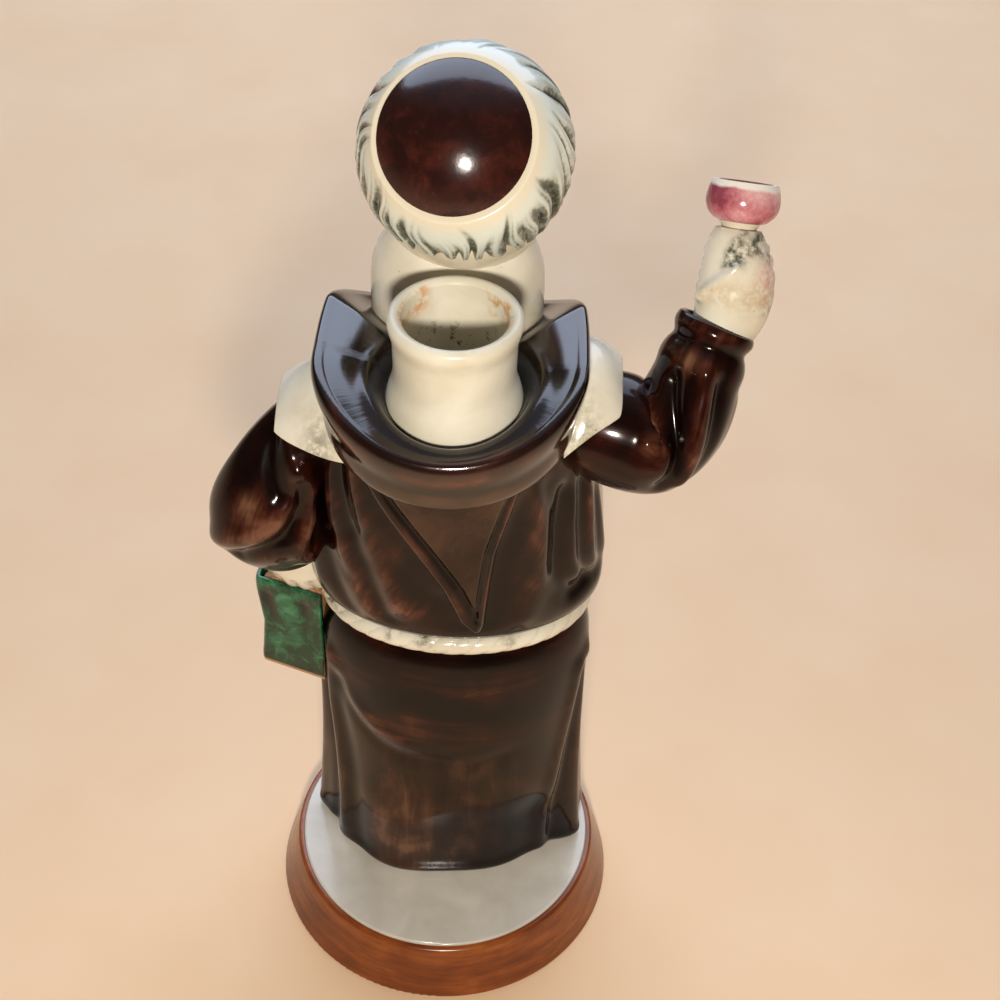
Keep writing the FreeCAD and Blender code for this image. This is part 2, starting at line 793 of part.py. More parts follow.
# Hood, folded down: a thick rolled ring round the foot of the neck and of the spout
collar_rows = []
for size, drop, rise, saddle, dip in COLLAR_ROW_SHARES:
    ring = []
    for angle in angles(collar_place_count):
        side = math.cos(angle)
        behind = math.sin(angle)
        depth = collar_back if behind > 0 else collar_front
        if behind < 0:
            side = math.copysign(abs(side) ** collar_corner_share, side)
            behind = -(abs(behind) ** collar_corner_share)
        height = collar_rise * rise - collar_drop * drop
        height = height + collar_saddle * saddle * (1 - 2 * max(0, behind) ** 2)
        fall = max(0, -behind - collar_level_share) / (1 - collar_level_share)
        height = height - collar_dip * dip * fall ** collar_fall_power
        ring.append(
            Vector(
                axis_x + collar_side + collar_half_width * size * side,
                collar_y + depth * size * behind,
                trunk_top_z + height,
            )
        )
    collar_rows.append(ring)
spout_well = Part.makeCylinder(
    spout_foot_radius,
    spout_height,
    Vector(axis_x, spout_y, trunk_top_z),
)
collar = closed_skin(collar_rows).cut(trunk_solid).cut(spout_well).cut(neck_solid)
collar = largest(collar)
write("hood_collar", collar)

# Tail of the hood: a pointed flap lying on the back of the trunk
tail_line = []
for wide, down in TAIL_LINE_SHARES:
    tail_line.append(
        Vector(axis_x + tail_half_width * wide, axis_y, trunk_top_z - tail_length * down)
    )
tail_curve = Part.BSplineCurve()
tail_curve.interpolate(tail_line)
tail_wire = Part.Wire([tail_curve.toShape(), Part.makeLine(tail_line[-1], tail_line[0])])
tail_block = Part.Face(tail_wire).extrude(Vector(0, chest_back + trunk_top_back, 0))
tail_skin = closed_skin(trunk_rows(tail_thickness, 0, trunk_height))
tail = tail_block.common(tail_skin).cut(trunk_solid).cut(collar)
write("hood_tail", tail)


def cape(side, outer, drop, lift):
    """One corner of the cape: a slab that hangs from under the hood over a shoulder."""
    rows = []
    for out, deep, down, hang, thick in CAPE_ROW_SHARES:
        x = axis_x + side * blend(cape_inner, outer, out)
        ridge_z = trunk_top_z + cape_thickness / 2 - cape_set_down - drop * down + lift * 4 * out * (1 - out)
        ring = []
        for angle in angles(limb_place_count):
            y = collar_y - cape_middle_forward + cape_half_depth * deep * math.cos(angle)
            z = ridge_z + cape_thickness * thick / 2 * math.sin(angle)
            ring.append(Vector(x, y, z - cape_drape * hang * math.cos(angle) ** 2))
        rows.append(ring)
    return largest(closed_skin(rows).cut(trunk_solid).cut(collar))


cape_left = cape(1, cape_left_outer, cape_left_drop, 0)
cape_right = cape(-1, cape_right_outer, cape_right_drop, cape_right_lift)
write("cape_left", cape_left)
write("cape_right", cape_right)

# Head with a plain face, set over the neck
head_rows = []
for height, wide, behind, front in HEAD_ROW_SHARES:
    ring = []
    z = head_place.z - head_below + (head_below + head_above) * height
    for angle in angles(round_place_count):
        depth = head_half_depth * (behind if math.sin(angle) > 0 else front)
        ring.append(
            Vector(
                head_place.x + head_half_width * wide * math.cos(angle),
                head_place.y + depth * math.sin(angle),
                z,
            )
        )
    head_rows.append(ring)
head_solid = closed_skin(head_rows)
nose_top = head_place + Vector(0, -head_half_depth + nose_radius, 0)
nose_tip = head_place + Vector(0, -head_half_depth - nose_reach + nose_radius, -nose_length)
nose = Part.makeCone(
    nose_radius / 2,
    nose_radius,
    nose_top.distanceToPoint(nose_tip),
    nose_top,
    nose_tip - nose_top,
)
nose = nose.fuse(Part.makeSphere(nose_radius, nose_tip))
head = head_solid.fuse(nose).cut(neck_solid)
write("head", head)

# Skull cap: a dome on the back of the crown
cap_edge = math.radians(cap_edge_angle)
cap_inner = cap_radius - cap_thickness
cap_line = [
    Vector(cap_radius * math.sin(cap_edge * share), 0, cap_radius * math.cos(cap_edge * share))
    for share in CAP_LINE_SHARES
]
cap_corners = [
    Vector(cap_inner * math.sin(cap_edge), 0, cap_inner * math.cos(cap_edge)),
    Vector(0, 0, cap_inner * math.cos(cap_edge)),
]
cap = turned(cap_line, cap_corners, head_place, cap_axis).cut(head_solid)
cap = largest(cap)
write("skull_cap", cap)

# Hair: a wreath round the head between the cap and the nape
hair_edge = math.radians(hair_edge_angle)
hair_inner = hair_radius - hair_depth
hair_line = []
for share, thick in HAIR_LINE_SHARES:
    angle = blend(cap_edge, hair_edge, share)
    radius = hair_radius * thick
    hair_line.append(Vector(radius * math.sin(angle), 0, radius * math.cos(angle)))
hair_corners = [
    Vector(hair_inner * math.sin(hair_edge), 0, hair_inner * math.cos(hair_edge)),
    Vector(hair_inner * math.sin(cap_edge), 0, hair_inner * math.cos(cap_edge)),
]
hair = turned(hair_line, hair_corners, head_place, cap_axis).cut(head_solid).cut(cap).cut(neck_solid)
write("hair_wreath", hair)

# Left sleeve: hanging, wide, with an open mouth for the hand
left_centres = []
left_widths = []
left_depths = []
for out, back, drop, wide, deep in LEFT_ARM_SHARES:
    left_centres.append(
        Vector(
            axis_x + left_arm_out * out,
            axis_y + left_arm_back * back,
            trunk_top_z - left_arm_drop * drop,
        )
    )
    left_widths.append(left_sleeve_radius * wide)
    left_depths.append(left_sleeve_radius * deep)
left_solid = closed_skin(limb_rows(left_centres, left_widths, left_depths))
left_cuff = left_centres[-1]
left_ahead = left_centres[-1] - left_centres[-2]
left_ahead.normalize()
left_seat = left_cuff - left_ahead * cuff_mouth_depth
left_mouth = Part.makeCylinder(left_depths[-1] - cuff_lip, 2 * cuff_mouth_depth, left_seat, left_ahead)

# Book: two boards and a spine round a block of pages, under the left hand, spine outward
book_turn = math.radians(book_turn_angle)
book_face = Vector(math.sin(book_turn), math.cos(book_turn), 0)
book_side = Vector(math.cos(book_turn), -math.sin(book_turn), 0)
hand_end = left_seat + left_ahead * left_hand_length
book_place = hand_end + Vector(book_out, book_back, 0)


def book_block(inner, outer, front, back, inset):
    """Upright block of the book between places along its side and its face."""
    corners = [
        book_place + book_side * inner + book_face * front,
        book_place + book_side * outer + book_face * front,
        book_place + book_side * outer + book_face * back,
        book_place + book_side * inner + book_face * back,
    ]
    wire = Part.makePolygon([corner - Vector(0, 0, inset) for corner in corners + corners[:1]])
    return Part.Face(wire).extrude(Vector(0, 0, -(book_height - 2 * inset)))


half_book = book_width / 2
half_thick = book_thickness / 2
boards = book_block(-half_book, half_book, -half_thick, half_thick, 0)
upright = [edge for edge in boards.Edges if edge.BoundBox.ZLength > book_height / 2]
boards = boards.makeFillet(book_corner_round / 2, upright)
pages_room = book_block(
    -half_book - book_board,
    half_book - book_board,
    book_board - half_thick,
    half_thick - book_board,
    -book_board,
)
pages = book_block(
    book_page_inset - half_book,
    half_book - book_board,
    book_board - half_thick,
    half_thick - book_board,
    book_page_inset,
)
cover = boards.cut(pages_room).cut(skirt_solid).cut(trunk_solid).cut(rope)
pages = pages.cut(skirt_solid).cut(trunk_solid).cut(rope)
cover = largest(cover)
pages = largest(pages)

# Left hand: from the seat in the sleeve down to the head of the book
left_hand_rows = []
for along, wide, deep in LEFT_HAND_SHARES:
    centre = left_seat + left_ahead * (left_hand_length * along)
    across = book_side - left_ahead * book_side.dot(left_ahead)
    across.normalize()
    left_hand_rows.append(
        oval_ring(
            centre,
            across,
            left_ahead.cross(across),
            left_hand_half_width * wide,
            left_hand_half_depth * deep,
            limb_place_count,
        )
    )
left_hand_solid = closed_skin(left_hand_rows)
left_sleeve = left_solid.cut(left_mouth).cut(trunk_solid).cut(collar).cut(cape_left)
left_sleeve = left_sleeve.cut(skirt_solid)
left_sleeve = largest(left_sleeve)
left_hand = left_hand_solid.cut(boards).cut(trunk_solid).cut(skirt_solid).cut(left_sleeve)
cover = cover.cut(left_sleeve)
pages = pages.cut(left_sleeve)
write("left_sleeve", left_sleeve)
write("left_hand", left_hand)
write("book_cover", cover)
write("book_pages", pages)

# Right sleeve: out from the shoulder, bent at the elbow, open at the raised cuff
right_centres = []
right_radii = []
for out, back, drop, rise, radius in RIGHT_ARM_SHARES:
    right_centres.append(
        Vector(
            axis_x - right_arm_out * out,
            axis_y + right_arm_back * back,
            trunk_top_z - right_elbow_drop * drop + right_arm_rise * rise,
        )
    )
    right_radii.append(right_sleeve_radius * radius)
right_solid = closed_skin(limb_rows(right_centres, right_radii, right_radii))
right_cuff = right_centres[-1]
right_ahead = right_centres[-1] - right_centres[-2]
right_ahead.normalize()
right_seat = right_cuff - right_ahead * cuff_mouth_depth
right_mouth = Part.makeCylinder(
    right_radii[-1] - cuff_lip,
    2 * cuff_mouth_depth,
    right_seat,
    right_ahead,
)

# Right hand: closed round the stem, bending from the line of the sleeve to the goblet's
goblet_forward = math.radians(goblet_forward_angle)
goblet_side = math.radians(goblet_side_angle)
goblet_axis = Vector(
    -math.sin(goblet_side),
    -math.cos(goblet_side) * math.sin(goblet_forward),
    math.cos(goblet_side) * math.cos(goblet_forward),
)
hand_across = Vector(0, 1, 0).cross(right_ahead)
hand_across.normalize()
hand_bend = right_seat + right_ahead * (right_hand_length / 2)
hand_top = hand_bend + goblet_axis * (right_hand_length / 2)
hand_centres = []
for along, wide, deep in RIGHT_HAND_SHARES:
    first = right_seat + (hand_bend - right_seat) * along
    second = hand_bend + (hand_top - hand_bend) * along
    sway = hand_across * (right_hand_sway * 4 * along * (1 - along))
    hand_centres.append(first + (second - first) * along - sway)
hand_widths = [right_hand_radius * wide for along, wide, deep in RIGHT_HAND_SHARES]
hand_depths = [right_hand_radius * deep for along, wide, deep in RIGHT_HAND_SHARES]
stem_hole = Part.makeCylinder(
    goblet_tenon_radius + socket_gap,
    2 * goblet_tenon_length,
    hand_top - goblet_axis * goblet_tenon_length,
    goblet_axis,
)
hand_solid = closed_skin(limb_rows(hand_centres, hand_widths, hand_depths))
right_sleeve = right_solid.cut(right_mouth).cut(trunk_solid).cut(collar).cut(cape_right)
right_sleeve = right_sleeve.cut(hand_solid)
write("right_sleeve", right_sleeve)

# Goblet: a stem with a tenon in the hand, and an open bowl on the stem
stem_line = [
    Vector(goblet_stem_radius * wide, 0, goblet_stem_length * high) for wide, high in STEM_LINE_SHARES
]
stem_corners = [
    Vector(0, 0, goblet_stem_length),
    Vector(0, 0, -goblet_tenon_length),
    Vector(goblet_tenon_radius, 0, -goblet_tenon_length),
    Vector(goblet_tenon_radius, 0, 0),
]
stem = turned(stem_line, stem_corners, hand_top, goblet_axis)
right_hand = hand_solid.cut(stem_hole).cut(stem)
write("right_hand", right_hand)
write("goblet_stem", stem)
bowl_line = [
    Vector(goblet_bowl_radius * wide, 0, goblet_bowl_height * high) for wide, high in BOWL_LINE_SHARES
]
bowl_corners = [
    Vector(point.x - goblet_wall, 0, max(point.z, goblet_wall)) for point in reversed(bowl_line)
]
bowl_corners = bowl_corners + [Vector(0, 0, goblet_wall), Vector(0, 0, 0)]
bowl_place = hand_top + goblet_axis * goblet_stem_length
write("goblet_bowl", turned(bowl_line, bowl_corners, bowl_place, goblet_axis))
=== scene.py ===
import math
import bpy
import numpy as np
from mathutils import Matrix


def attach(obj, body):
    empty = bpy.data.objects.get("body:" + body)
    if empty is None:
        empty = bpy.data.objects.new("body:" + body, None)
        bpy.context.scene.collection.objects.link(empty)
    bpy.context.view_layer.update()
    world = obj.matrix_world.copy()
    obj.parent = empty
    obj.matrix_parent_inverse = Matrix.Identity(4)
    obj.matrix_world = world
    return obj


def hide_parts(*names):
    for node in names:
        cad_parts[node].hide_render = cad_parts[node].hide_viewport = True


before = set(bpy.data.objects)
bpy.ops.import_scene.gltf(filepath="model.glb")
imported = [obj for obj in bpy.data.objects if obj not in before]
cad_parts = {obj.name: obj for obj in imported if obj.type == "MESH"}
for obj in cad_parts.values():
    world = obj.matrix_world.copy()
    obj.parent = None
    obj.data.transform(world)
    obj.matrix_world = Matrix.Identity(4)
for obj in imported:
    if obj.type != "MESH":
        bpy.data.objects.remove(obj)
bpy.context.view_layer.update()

# Glazed earthenware decanter: a robed figure on a round plinth, seen from behind and
# above. Shapes are worked out in millimetres in the frame of the solids.
MM = 0.001
AXIS_X, AXIS_Y = -2.4, -8.0
PLATE_TOP, WAIST, TRUNK_TOP = 19.8, 132.8, 220.8
SKIRT_HEIGHT, TRUNK_HEIGHT, ROBE_WALL = 113.0, 88.0, 5.0
SPOUT_X, SPOUT_Y, SPOUT_HOLE = -2.4, 13.8, 16.1
COLLAR_X, COLLAR_Y = -1.0, 8.0
NECK_X, NECK_Y = -0.9, -25.6
HEAD = np.array([-2.4, -30.0, 272.8])
CAP_AXIS = np.array([0.1219, 0.7376, 0.6641])
GOBLET_AXIS = np.array([-0.0872, -0.4981, 0.8627])
STEM_LENGTH, BOWL_HEIGHT = 6.0, 10.8
UP = np.array([0.0, 0.0, 1.0])


# Surfaces
def basis(count, places):
    """Weights of a clamped uniform cubic B-spline: one row per place from 0 to 1."""
    knots = np.concatenate([[0] * 3, np.arange(count - 2), [count - 3] * 3]).astype(float)
    spot = np.clip(places, 0, 1)[:, None] * (count - 3)
    weights = ((knots[:-1] <= spot) & (spot < knots[1:])).astype(float)
    weights[spot[:, 0] >= count - 3, count - 1] = 1
    for degree in (1, 2, 3):
        low = knots[degree:-1] - knots[: -degree - 1]
        high = knots[degree + 1 :] - knots[1:-degree]
        rise = np.where(low > 0, (spot - knots[: -degree - 1]) / np.where(low > 0, low, 1), 0)
        fall = np.where(high > 0, (knots[degree + 1 :] - spot) / np.where(high > 0, high, 1), 0)
        weights = rise * weights[:, :-1] + fall * weights[:, 1:]
    return weights


def loop_basis(count, places):
    """Weights of a closed uniform cubic B-spline: one row per place, counted in poles."""
    weights = np.zeros((len(places), count))
    first = np.floor(places).astype(int)
    part = places - first
    terms = (
        (1 - part) ** 3 / 6,
        (3 * part**3 - 6 * part**2 + 4) / 6,
        (-3 * part**3 + 3 * part**2 + 3 * part + 1) / 6,
        part**3 / 6,
    )
    row = np.arange(len(places))
    for step, term in enumerate(terms):
        np.add.at(weights, (row, (first + step - 1) % count), term)
    return weights


def skin(poles, along, around):
    """Smooth skin through rings of poles: clamped cubic along, closed cubic around."""
    poles = np.asarray(poles, float)
    lengthwise = basis(poles.shape[0], along)
    crosswise = loop_basis(poles.shape[1], around / 360 * poles.shape[1])
    return np.einsum("ai,bj,ijk->abk", lengthwise, crosswise, poles)


def row_values(table, places):
    """Columns of a table of rows, smoothed by the clamped cubic, each one value per place."""
    return (basis(len(table), places) @ np.array(table)).T[:, :, None]


def unit(vectors):
    """Vectors scaled to a length of one."""
    return vectors / np.maximum(np.linalg.norm(vectors, axis=-1, keepdims=True), 1e-9)


def normals(points):
    """Outward unit normals of a closed tube of points: along times around, by differences."""
    crosswise = np.roll(points, -1, 1) - np.roll(points, 1, 1)
    return unit(np.cross(crosswise, np.gradient(points, axis=0)))


def turns(count):
    """So many even steps round a full turn, in radians."""
    return np.linspace(0, 2 * np.pi, count, endpoint=False)


def power(value, exponent):
    """Power of the size of a value, with the value's sign: it squares off a circle."""
    return np.sign(value) * np.abs(value) ** exponent


def padded(values, rows, fill=0.0):
    """Values of a grid with so many rows of one number after its last row."""
    return np.pad(values, ((0, rows), (0, 0)), constant_values=fill)


def bell(distance, width):
    """Bell curve of a distance: 1 at 0, about a third at one width."""
    return np.exp(-((distance / width) ** 2))


def ease(low, high, value):
    """Smooth step from 0 at low to 1 at high."""
    t = np.clip((value - low) / (high - low), 0, 1)
    return t * t * (3 - 2 * t)


def soften(values, times):
    """Values of a grid closed around, each averaged with its neighbours so many times."""
    for _ in range(times):
        values = (np.roll(values, 1, 1) + 2 * values + np.roll(values, -1, 1)) / 4
        ends = np.concatenate([values[:1], values, values[-1:]])
        values = (ends[:-2] + 2 * values + ends[2:]) / 4
    return values


def strokes(across, upward, lines):
    """Sum of strokes in millimetres: each line is a height, a half-width and a run of places,
    and falls off as a bell curve of the distance to its run."""
    total = np.zeros(np.broadcast(across, upward).shape)
    for height, width, run in lines:
        gap = np.full(total.shape, 1e9)
        for (a, b), (c, d) in zip(run[:-1], run[1:]):
            along = ((across - a) * (c - a) + (upward - b) * (d - b)) / ((c - a) ** 2 + (d - b) ** 2)
            along = np.clip(along, 0, 1)
            gap = np.minimum(gap, np.hypot(across - a - along * (c - a), upward - b - along * (d - b)))
        total = total + height * bell(gap, width)
    return total


def show(name, data):
    """New object of the scene with the given data."""
    thing = bpy.data.objects.new(name, data)
    bpy.context.scene.collection.objects.link(thing)
    return thing


def piece(name, points, material, node, marks=None, loop=False, brush=None):
    """Mesh of a grid of points, along times around, closed around. Without loop, fans
    close its two ends; with loop, its last row joins its first. Marks are named numbers
    per point; brush is the pair of lengths, across and along the strokes, kept as UV."""
    rows, cols = points.shape[:2]
    verts = points.reshape(-1, 3) * MM
    row = np.arange(rows if loop else rows - 1)[:, None]
    col = np.arange(cols)[None, :]
    after = (row + 1) % rows
    beside = (col + 1) % cols
    corners = [row * cols + col, row * cols + beside, after * cols + beside, after * cols + col]
    faces = np.stack(corners, -1).reshape(-1, 4).tolist()
    if not loop:
        ends = np.stack([points[0].mean(0), points[-1].mean(0)]) * MM
        low, high = len(verts), len(verts) + 1
        verts = np.vstack([verts, ends])
        ring, follow, last = col[0], beside[0], (rows - 1) * cols
        faces += np.stack([follow, ring, np.full(cols, low)], -1).tolist()
        faces += np.stack([last + ring, last + follow, np.full(cols, high)], -1).tolist()
    mesh = bpy.data.meshes.new(name)
    mesh.from_pydata(verts.tolist(), [], faces)
    mesh.polygons.foreach_set("use_smooth", np.ones(len(mesh.polygons), bool))
    pad = len(verts) - rows * cols
    for label, value in (marks or {}).items():
        flat = np.broadcast_to(value, (rows, cols)).reshape(-1)
        store = mesh.attributes.new(label, "FLOAT", "POINT")
        store.data.foreach_set("value", np.concatenate([flat, np.zeros(pad)]).astype(np.float32))
    if brush is not None:
        pair = np.stack(np.broadcast_arrays(*brush, points[..., 0])[:2], -1).reshape(-1, 2)
        pair = np.vstack([pair, np.zeros((pad, 2))]) * MM
        index = np.empty(len(mesh.loops), np.int32)
        mesh.loops.foreach_get("vertex_index", index)
        mesh.uv_layers.new(name="brush").data.foreach_set("uv", pair[index].reshape(-1))
    mesh.materials.append(material)
    mesh.validate()
    mesh.update()
    thing = show(name, mesh)
    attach(thing, "root")
    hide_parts(node)


# Materials
def colour(code):
    """Linear colour of an sRGB hex code."""
    value = np.array([int(code[i : i + 2], 16) for i in (1, 3, 5)]) / 255
    linear = np.where(value <= 0.04045, value / 12.92, ((value + 0.055) / 1.055) ** 2.4)
    return (*linear.tolist(), 1.0)


def per(size_mm):
    """Scale of a pattern whose features are size_mm across, on coordinates in metres."""
    return 1 / (size_mm * MM)


def add(tree, kind, inputs=None, out=0, stops=None, **settings):
    """Adds one node, sets its settings, fills its inputs with values or links and its ramp
    with (place, hex code) stops, and gives back one of its outputs."""
    node = tree.nodes.new("ShaderNode" + kind)
    for key, value in settings.items():
        setattr(node, key, value)
    for key, value in (inputs or {}).items():
        if isinstance(value, bpy.types.NodeSocket):
            tree.links.new(value, node.inputs[key])
        else:
            node.inputs[key].default_value = value
    for count, (place, code) in enumerate(stops or ()):
        spots = node.color_ramp.elements
        spot = spots[count] if count < 2 else spots.new(place)
        spot.position = place
        spot.color = colour(code)
    return node.outputs[out] if len(node.outputs) else node


def start(name, roughness, ior=1.5):
    """Empty material with one principled shader; gives the material, its tree and the place
    on the object."""
    material = bpy.data.materials.new(name)
    material.use_nodes = True
    tree = material.node_tree
    tree.nodes.clear()
    shader = add(tree, "BsdfPrincipled", {"Roughness": roughness, "IOR": ior})
    add(tree, "OutputMaterial", {"Surface": shader})
    return material, tree, add(tree, "TexCoord", out="Object")


def finish(material, body, height, depth_mm, strength):
    """Gives a material its colour and a fine relief of a given depth, and gives it back."""
    tree = material.node_tree
    shader = tree.nodes["Principled BSDF"]
    tree.links.new(body, shader.inputs["Base Color"])
    relief = add(tree, "Bump", {"Height": height, "Distance": depth_mm * MM, "Strength": strength})
    tree.links.new(relief, shader.inputs["Normal"])
    return material


def robe_glaze(name, ior):
    """Brown glaze brushed on ivory slip-cast ware and fired glossy: almost black where
    it pools in the folds, thin and reddish on the ridges, with the brush's streaks, and
    greyer where the grey mark says, partly a second, thinner wash and partly a painted
    blue-grey reflection. A thicker coat has the higher index."""
    material, tree, place = start(name, 0.14, ior)
    brush = add(tree, "UVMap", uv_map="brush")
    ridge = add(tree, "Attribute", attribute_name="ridge", out="Fac")
    bands = add(tree, "Attribute", attribute_name="bands", out="Fac")
    grey = add(tree, "Attribute", attribute_name="grey", out="Fac")
    down = add(tree, "Mapping", {"Vector": brush, "Scale": (1.0, 0.14, 1.0)})
    level = add(tree, "Mapping", {"Vector": brush, "Scale": (0.1, 1.0, 1.0)})
    stroke = {"Scale": per(5.5), "Detail": 5.0, "Roughness": 0.62, "Distortion": 0.5}
    streak_down = add(tree, "TexNoise", {"Vector": down, **stroke})
    streak_level = add(tree, "TexNoise", {"Vector": level, **stroke})
    streak = add(tree, "MixRGB", {"Fac": bands, "Color1": streak_down, "Color2": streak_level})
    patch = add(tree, "TexNoise", {"Vector": place, "Scale": per(20.0), "Detail": 3.0, "Distortion": 0.8})
    coat = add(tree, "Math", {0: streak, 1: patch}, operation="ADD")
    lifted = add(tree, "Math", {0: ridge, 1: 0.4, 2: coat}, operation="MULTIPLY_ADD")
    thin = add(tree, "MapRange", {"Value": lifted, "From Min": 0.78, "From Max": 1.5})
    red = [(0.0, "#0b0302"), (1.0, "#704a38"), (0.3, "#160604"), (0.55, "#2a0e08"), (0.78, "#482619")]
    # Greyer ramp used where the grey mark is: a thinner wash, and painted reflection in places
    wash = [(0.0, "#150a06"), (1.0, "#6e503c"), (0.35, "#2b1910"), (0.7, "#472e20")]
    first = add(tree, "ValToRGB", {"Fac": thin}, stops=red)
    second = add(tree, "ValToRGB", {"Fac": thin}, stops=wash)
    body = add(tree, "MixRGB", {"Fac": grey, "Color1": first, "Color2": second})
    fine = add(tree, "TexNoise", {"Vector": down, "Scale": per(1.6), "Detail": 2.0})
    height = add(tree, "MixRGB", {"Fac": 0.7, "Color1": fine, "Color2": patch})
    return finish(material, body, height, 0.2, 0.45)


def cap_glaze():
    """Maroon glaze, thick and glossy on a pressed cap: redder toward its lower edge, where
    it is thinner, with a few small pits and sandy specks."""
    material, tree, place = start("thick_maroon_glaze", 0.17, 1.6)
    cloud = {"Vector": place, "Detail": 5.0, "Roughness": 0.65, "Distortion": 0.6}
    patch = add(tree, "TexNoise", {"Scale": per(9.0), **cloud})
    speck = add(tree, "TexNoise", {"Scale": per(1.3), **cloud})
    level = add(tree, "SeparateXYZ", {"Vector": place}, out="Z")
    low = add(tree, "MapRange", {"Value": level, "From Min": 305.0 * MM, "From Max": 268.0 * MM})
    lean = add(tree, "Math", {0: low, 1: 0.3, 2: patch}, operation="MULTIPLY_ADD")
    sandy = add(tree, "MapRange", {"Value": speck, "From Min": 0.62, "From Max": 0.8, "To Max": 0.35})
    thin = add(tree, "Math", {0: lean, 1: sandy}, operation="ADD")
    reach = add(tree, "MapRange", {"Value": thin, "From Min": 0.36, "From Max": 1.0})
    red = [(0.0, "#170807"), (1.0, "#6a3a2c"), (0.4, "#2a0f0c"), (0.7, "#431b14")]
    body = add(tree, "ValToRGB", {"Fac": reach}, stops=red)
    pits = add(tree, "TexNoise", {"Vector": place, "Scale": per(2.2), "Detail": 3.0})
    return finish(material, body, pits, 0.1, 0.35)


def ivory_glaze():
    """Clear glaze on ivory earthenware: warm white, faintly mottled, a few dark specks, with
    grey smears, pink blush and brown stain where marks of these names say so."""
    material, tree, place = start("clear_glaze_on_ivory", 0.16)
    cloud = add(tree, "TexNoise", {"Vector": place, "Scale": per(14.0), "Detail": 4.0, "Distortion": 0.3})
    tint = [(0.38, "#ebe6d3"), (0.70, "#dad2ba")]
    body = add(tree, "ValToRGB", {"Fac": cloud}, stops=tint)
    dots = add(tree, "TexVoronoi", {"Vector": place, "Scale": per(6.0)})
    fade = {"From Min": 0.035, "From Max": 0.06, "To Min": 0.5, "To Max": 0.0}
    speck = add(tree, "MapRange", {"Value": dots, **fade})
    body = add(tree, "MixRGB", {"Fac": speck, "Color1": body, "Color2": colour("#6a5c48")})
    grit = add(tree, "TexNoise", {"Vector": place, "Scale": per(2.4), "Detail": 4.0, "Roughness": 0.7})
    broken = add(tree, "MapRange", {"Value": grit, "From Min": 0.36, "From Max": 0.6})
    for label, code in (("smear", "#5d5f50"), ("blush", "#dc8f80"), ("stain", "#b99a62")):
        mark = add(tree, "Attribute", attribute_name=label, out="Fac")
        amount = add(tree, "Math", {0: mark, 1: broken}, operation="MULTIPLY")
        body = add(tree, "MixRGB", {"Fac": amount, "Color1": body, "Color2": colour(code)})
    wave = add(tree, "TexNoise", {"Vector": place, "Scale": per(5.0), "Detail": 3.0})
    return finish(material, body, wave, 0.15, 0.4)


def hair_glaze():
    """Ivory ware with thin grey-olive colour brushed over it: the colour stays in the
    grooves between the locks and breaks up at the ends of the strokes, and the band next
    to the cap is bare and warmer. The rest of the ivory has a cool, greenish tint that is
    a painted reflection."""
    material, tree, place = start("washed_grey_ivory_glaze", 0.2)
    wash = add(tree, "Attribute", attribute_name="wash", out="Fac")
    warm = add(tree, "Attribute", attribute_name="warm", out="Fac")
    cloud = add(tree, "TexNoise", {"Vector": place, "Scale": per(8.0), "Detail": 4.0, "Distortion": 0.6})
    grain = add(tree, "TexNoise", {"Vector": place, "Scale": per(1.4), "Detail": 4.0, "Roughness": 0.7})
    thick = add(tree, "MapRange", {"Value": cloud, "From Min": 0.22, "From Max": 0.5})
    broken = add(tree, "MapRange", {"Value": grain, "From Min": 0.2, "From Max": 0.55})
    amount = add(tree, "Math", {0: wash, 1: thick}, operation="MULTIPLY")
    amount = add(tree, "Math", {0: amount, 1: broken}, operation="MULTIPLY")
    # Cool greenish white away from the cap is a painted reflection; warm ivory by the cap
    ivory = add(tree, "MixRGB", {"Fac": warm, "Color1": colour("#e6ebde"), "Color2": colour("#ece3ca")})
    olive = [(0.0, "#a9aa95"), (1.0, "#3d4036"), (0.5, "#6c6f60")]
    stroke = add(tree, "ValToRGB", {"Fac": amount}, stops=olive)
    cover = add(tree, "MapRange", {"Value": amount, "From Min": 0.0, "From Max": 0.3})
    body = add(tree, "MixRGB", {"Fac": cover, "Color1": ivory, "Color2": stroke})
    return finish(material, body, grain, 0.1, 0.25)


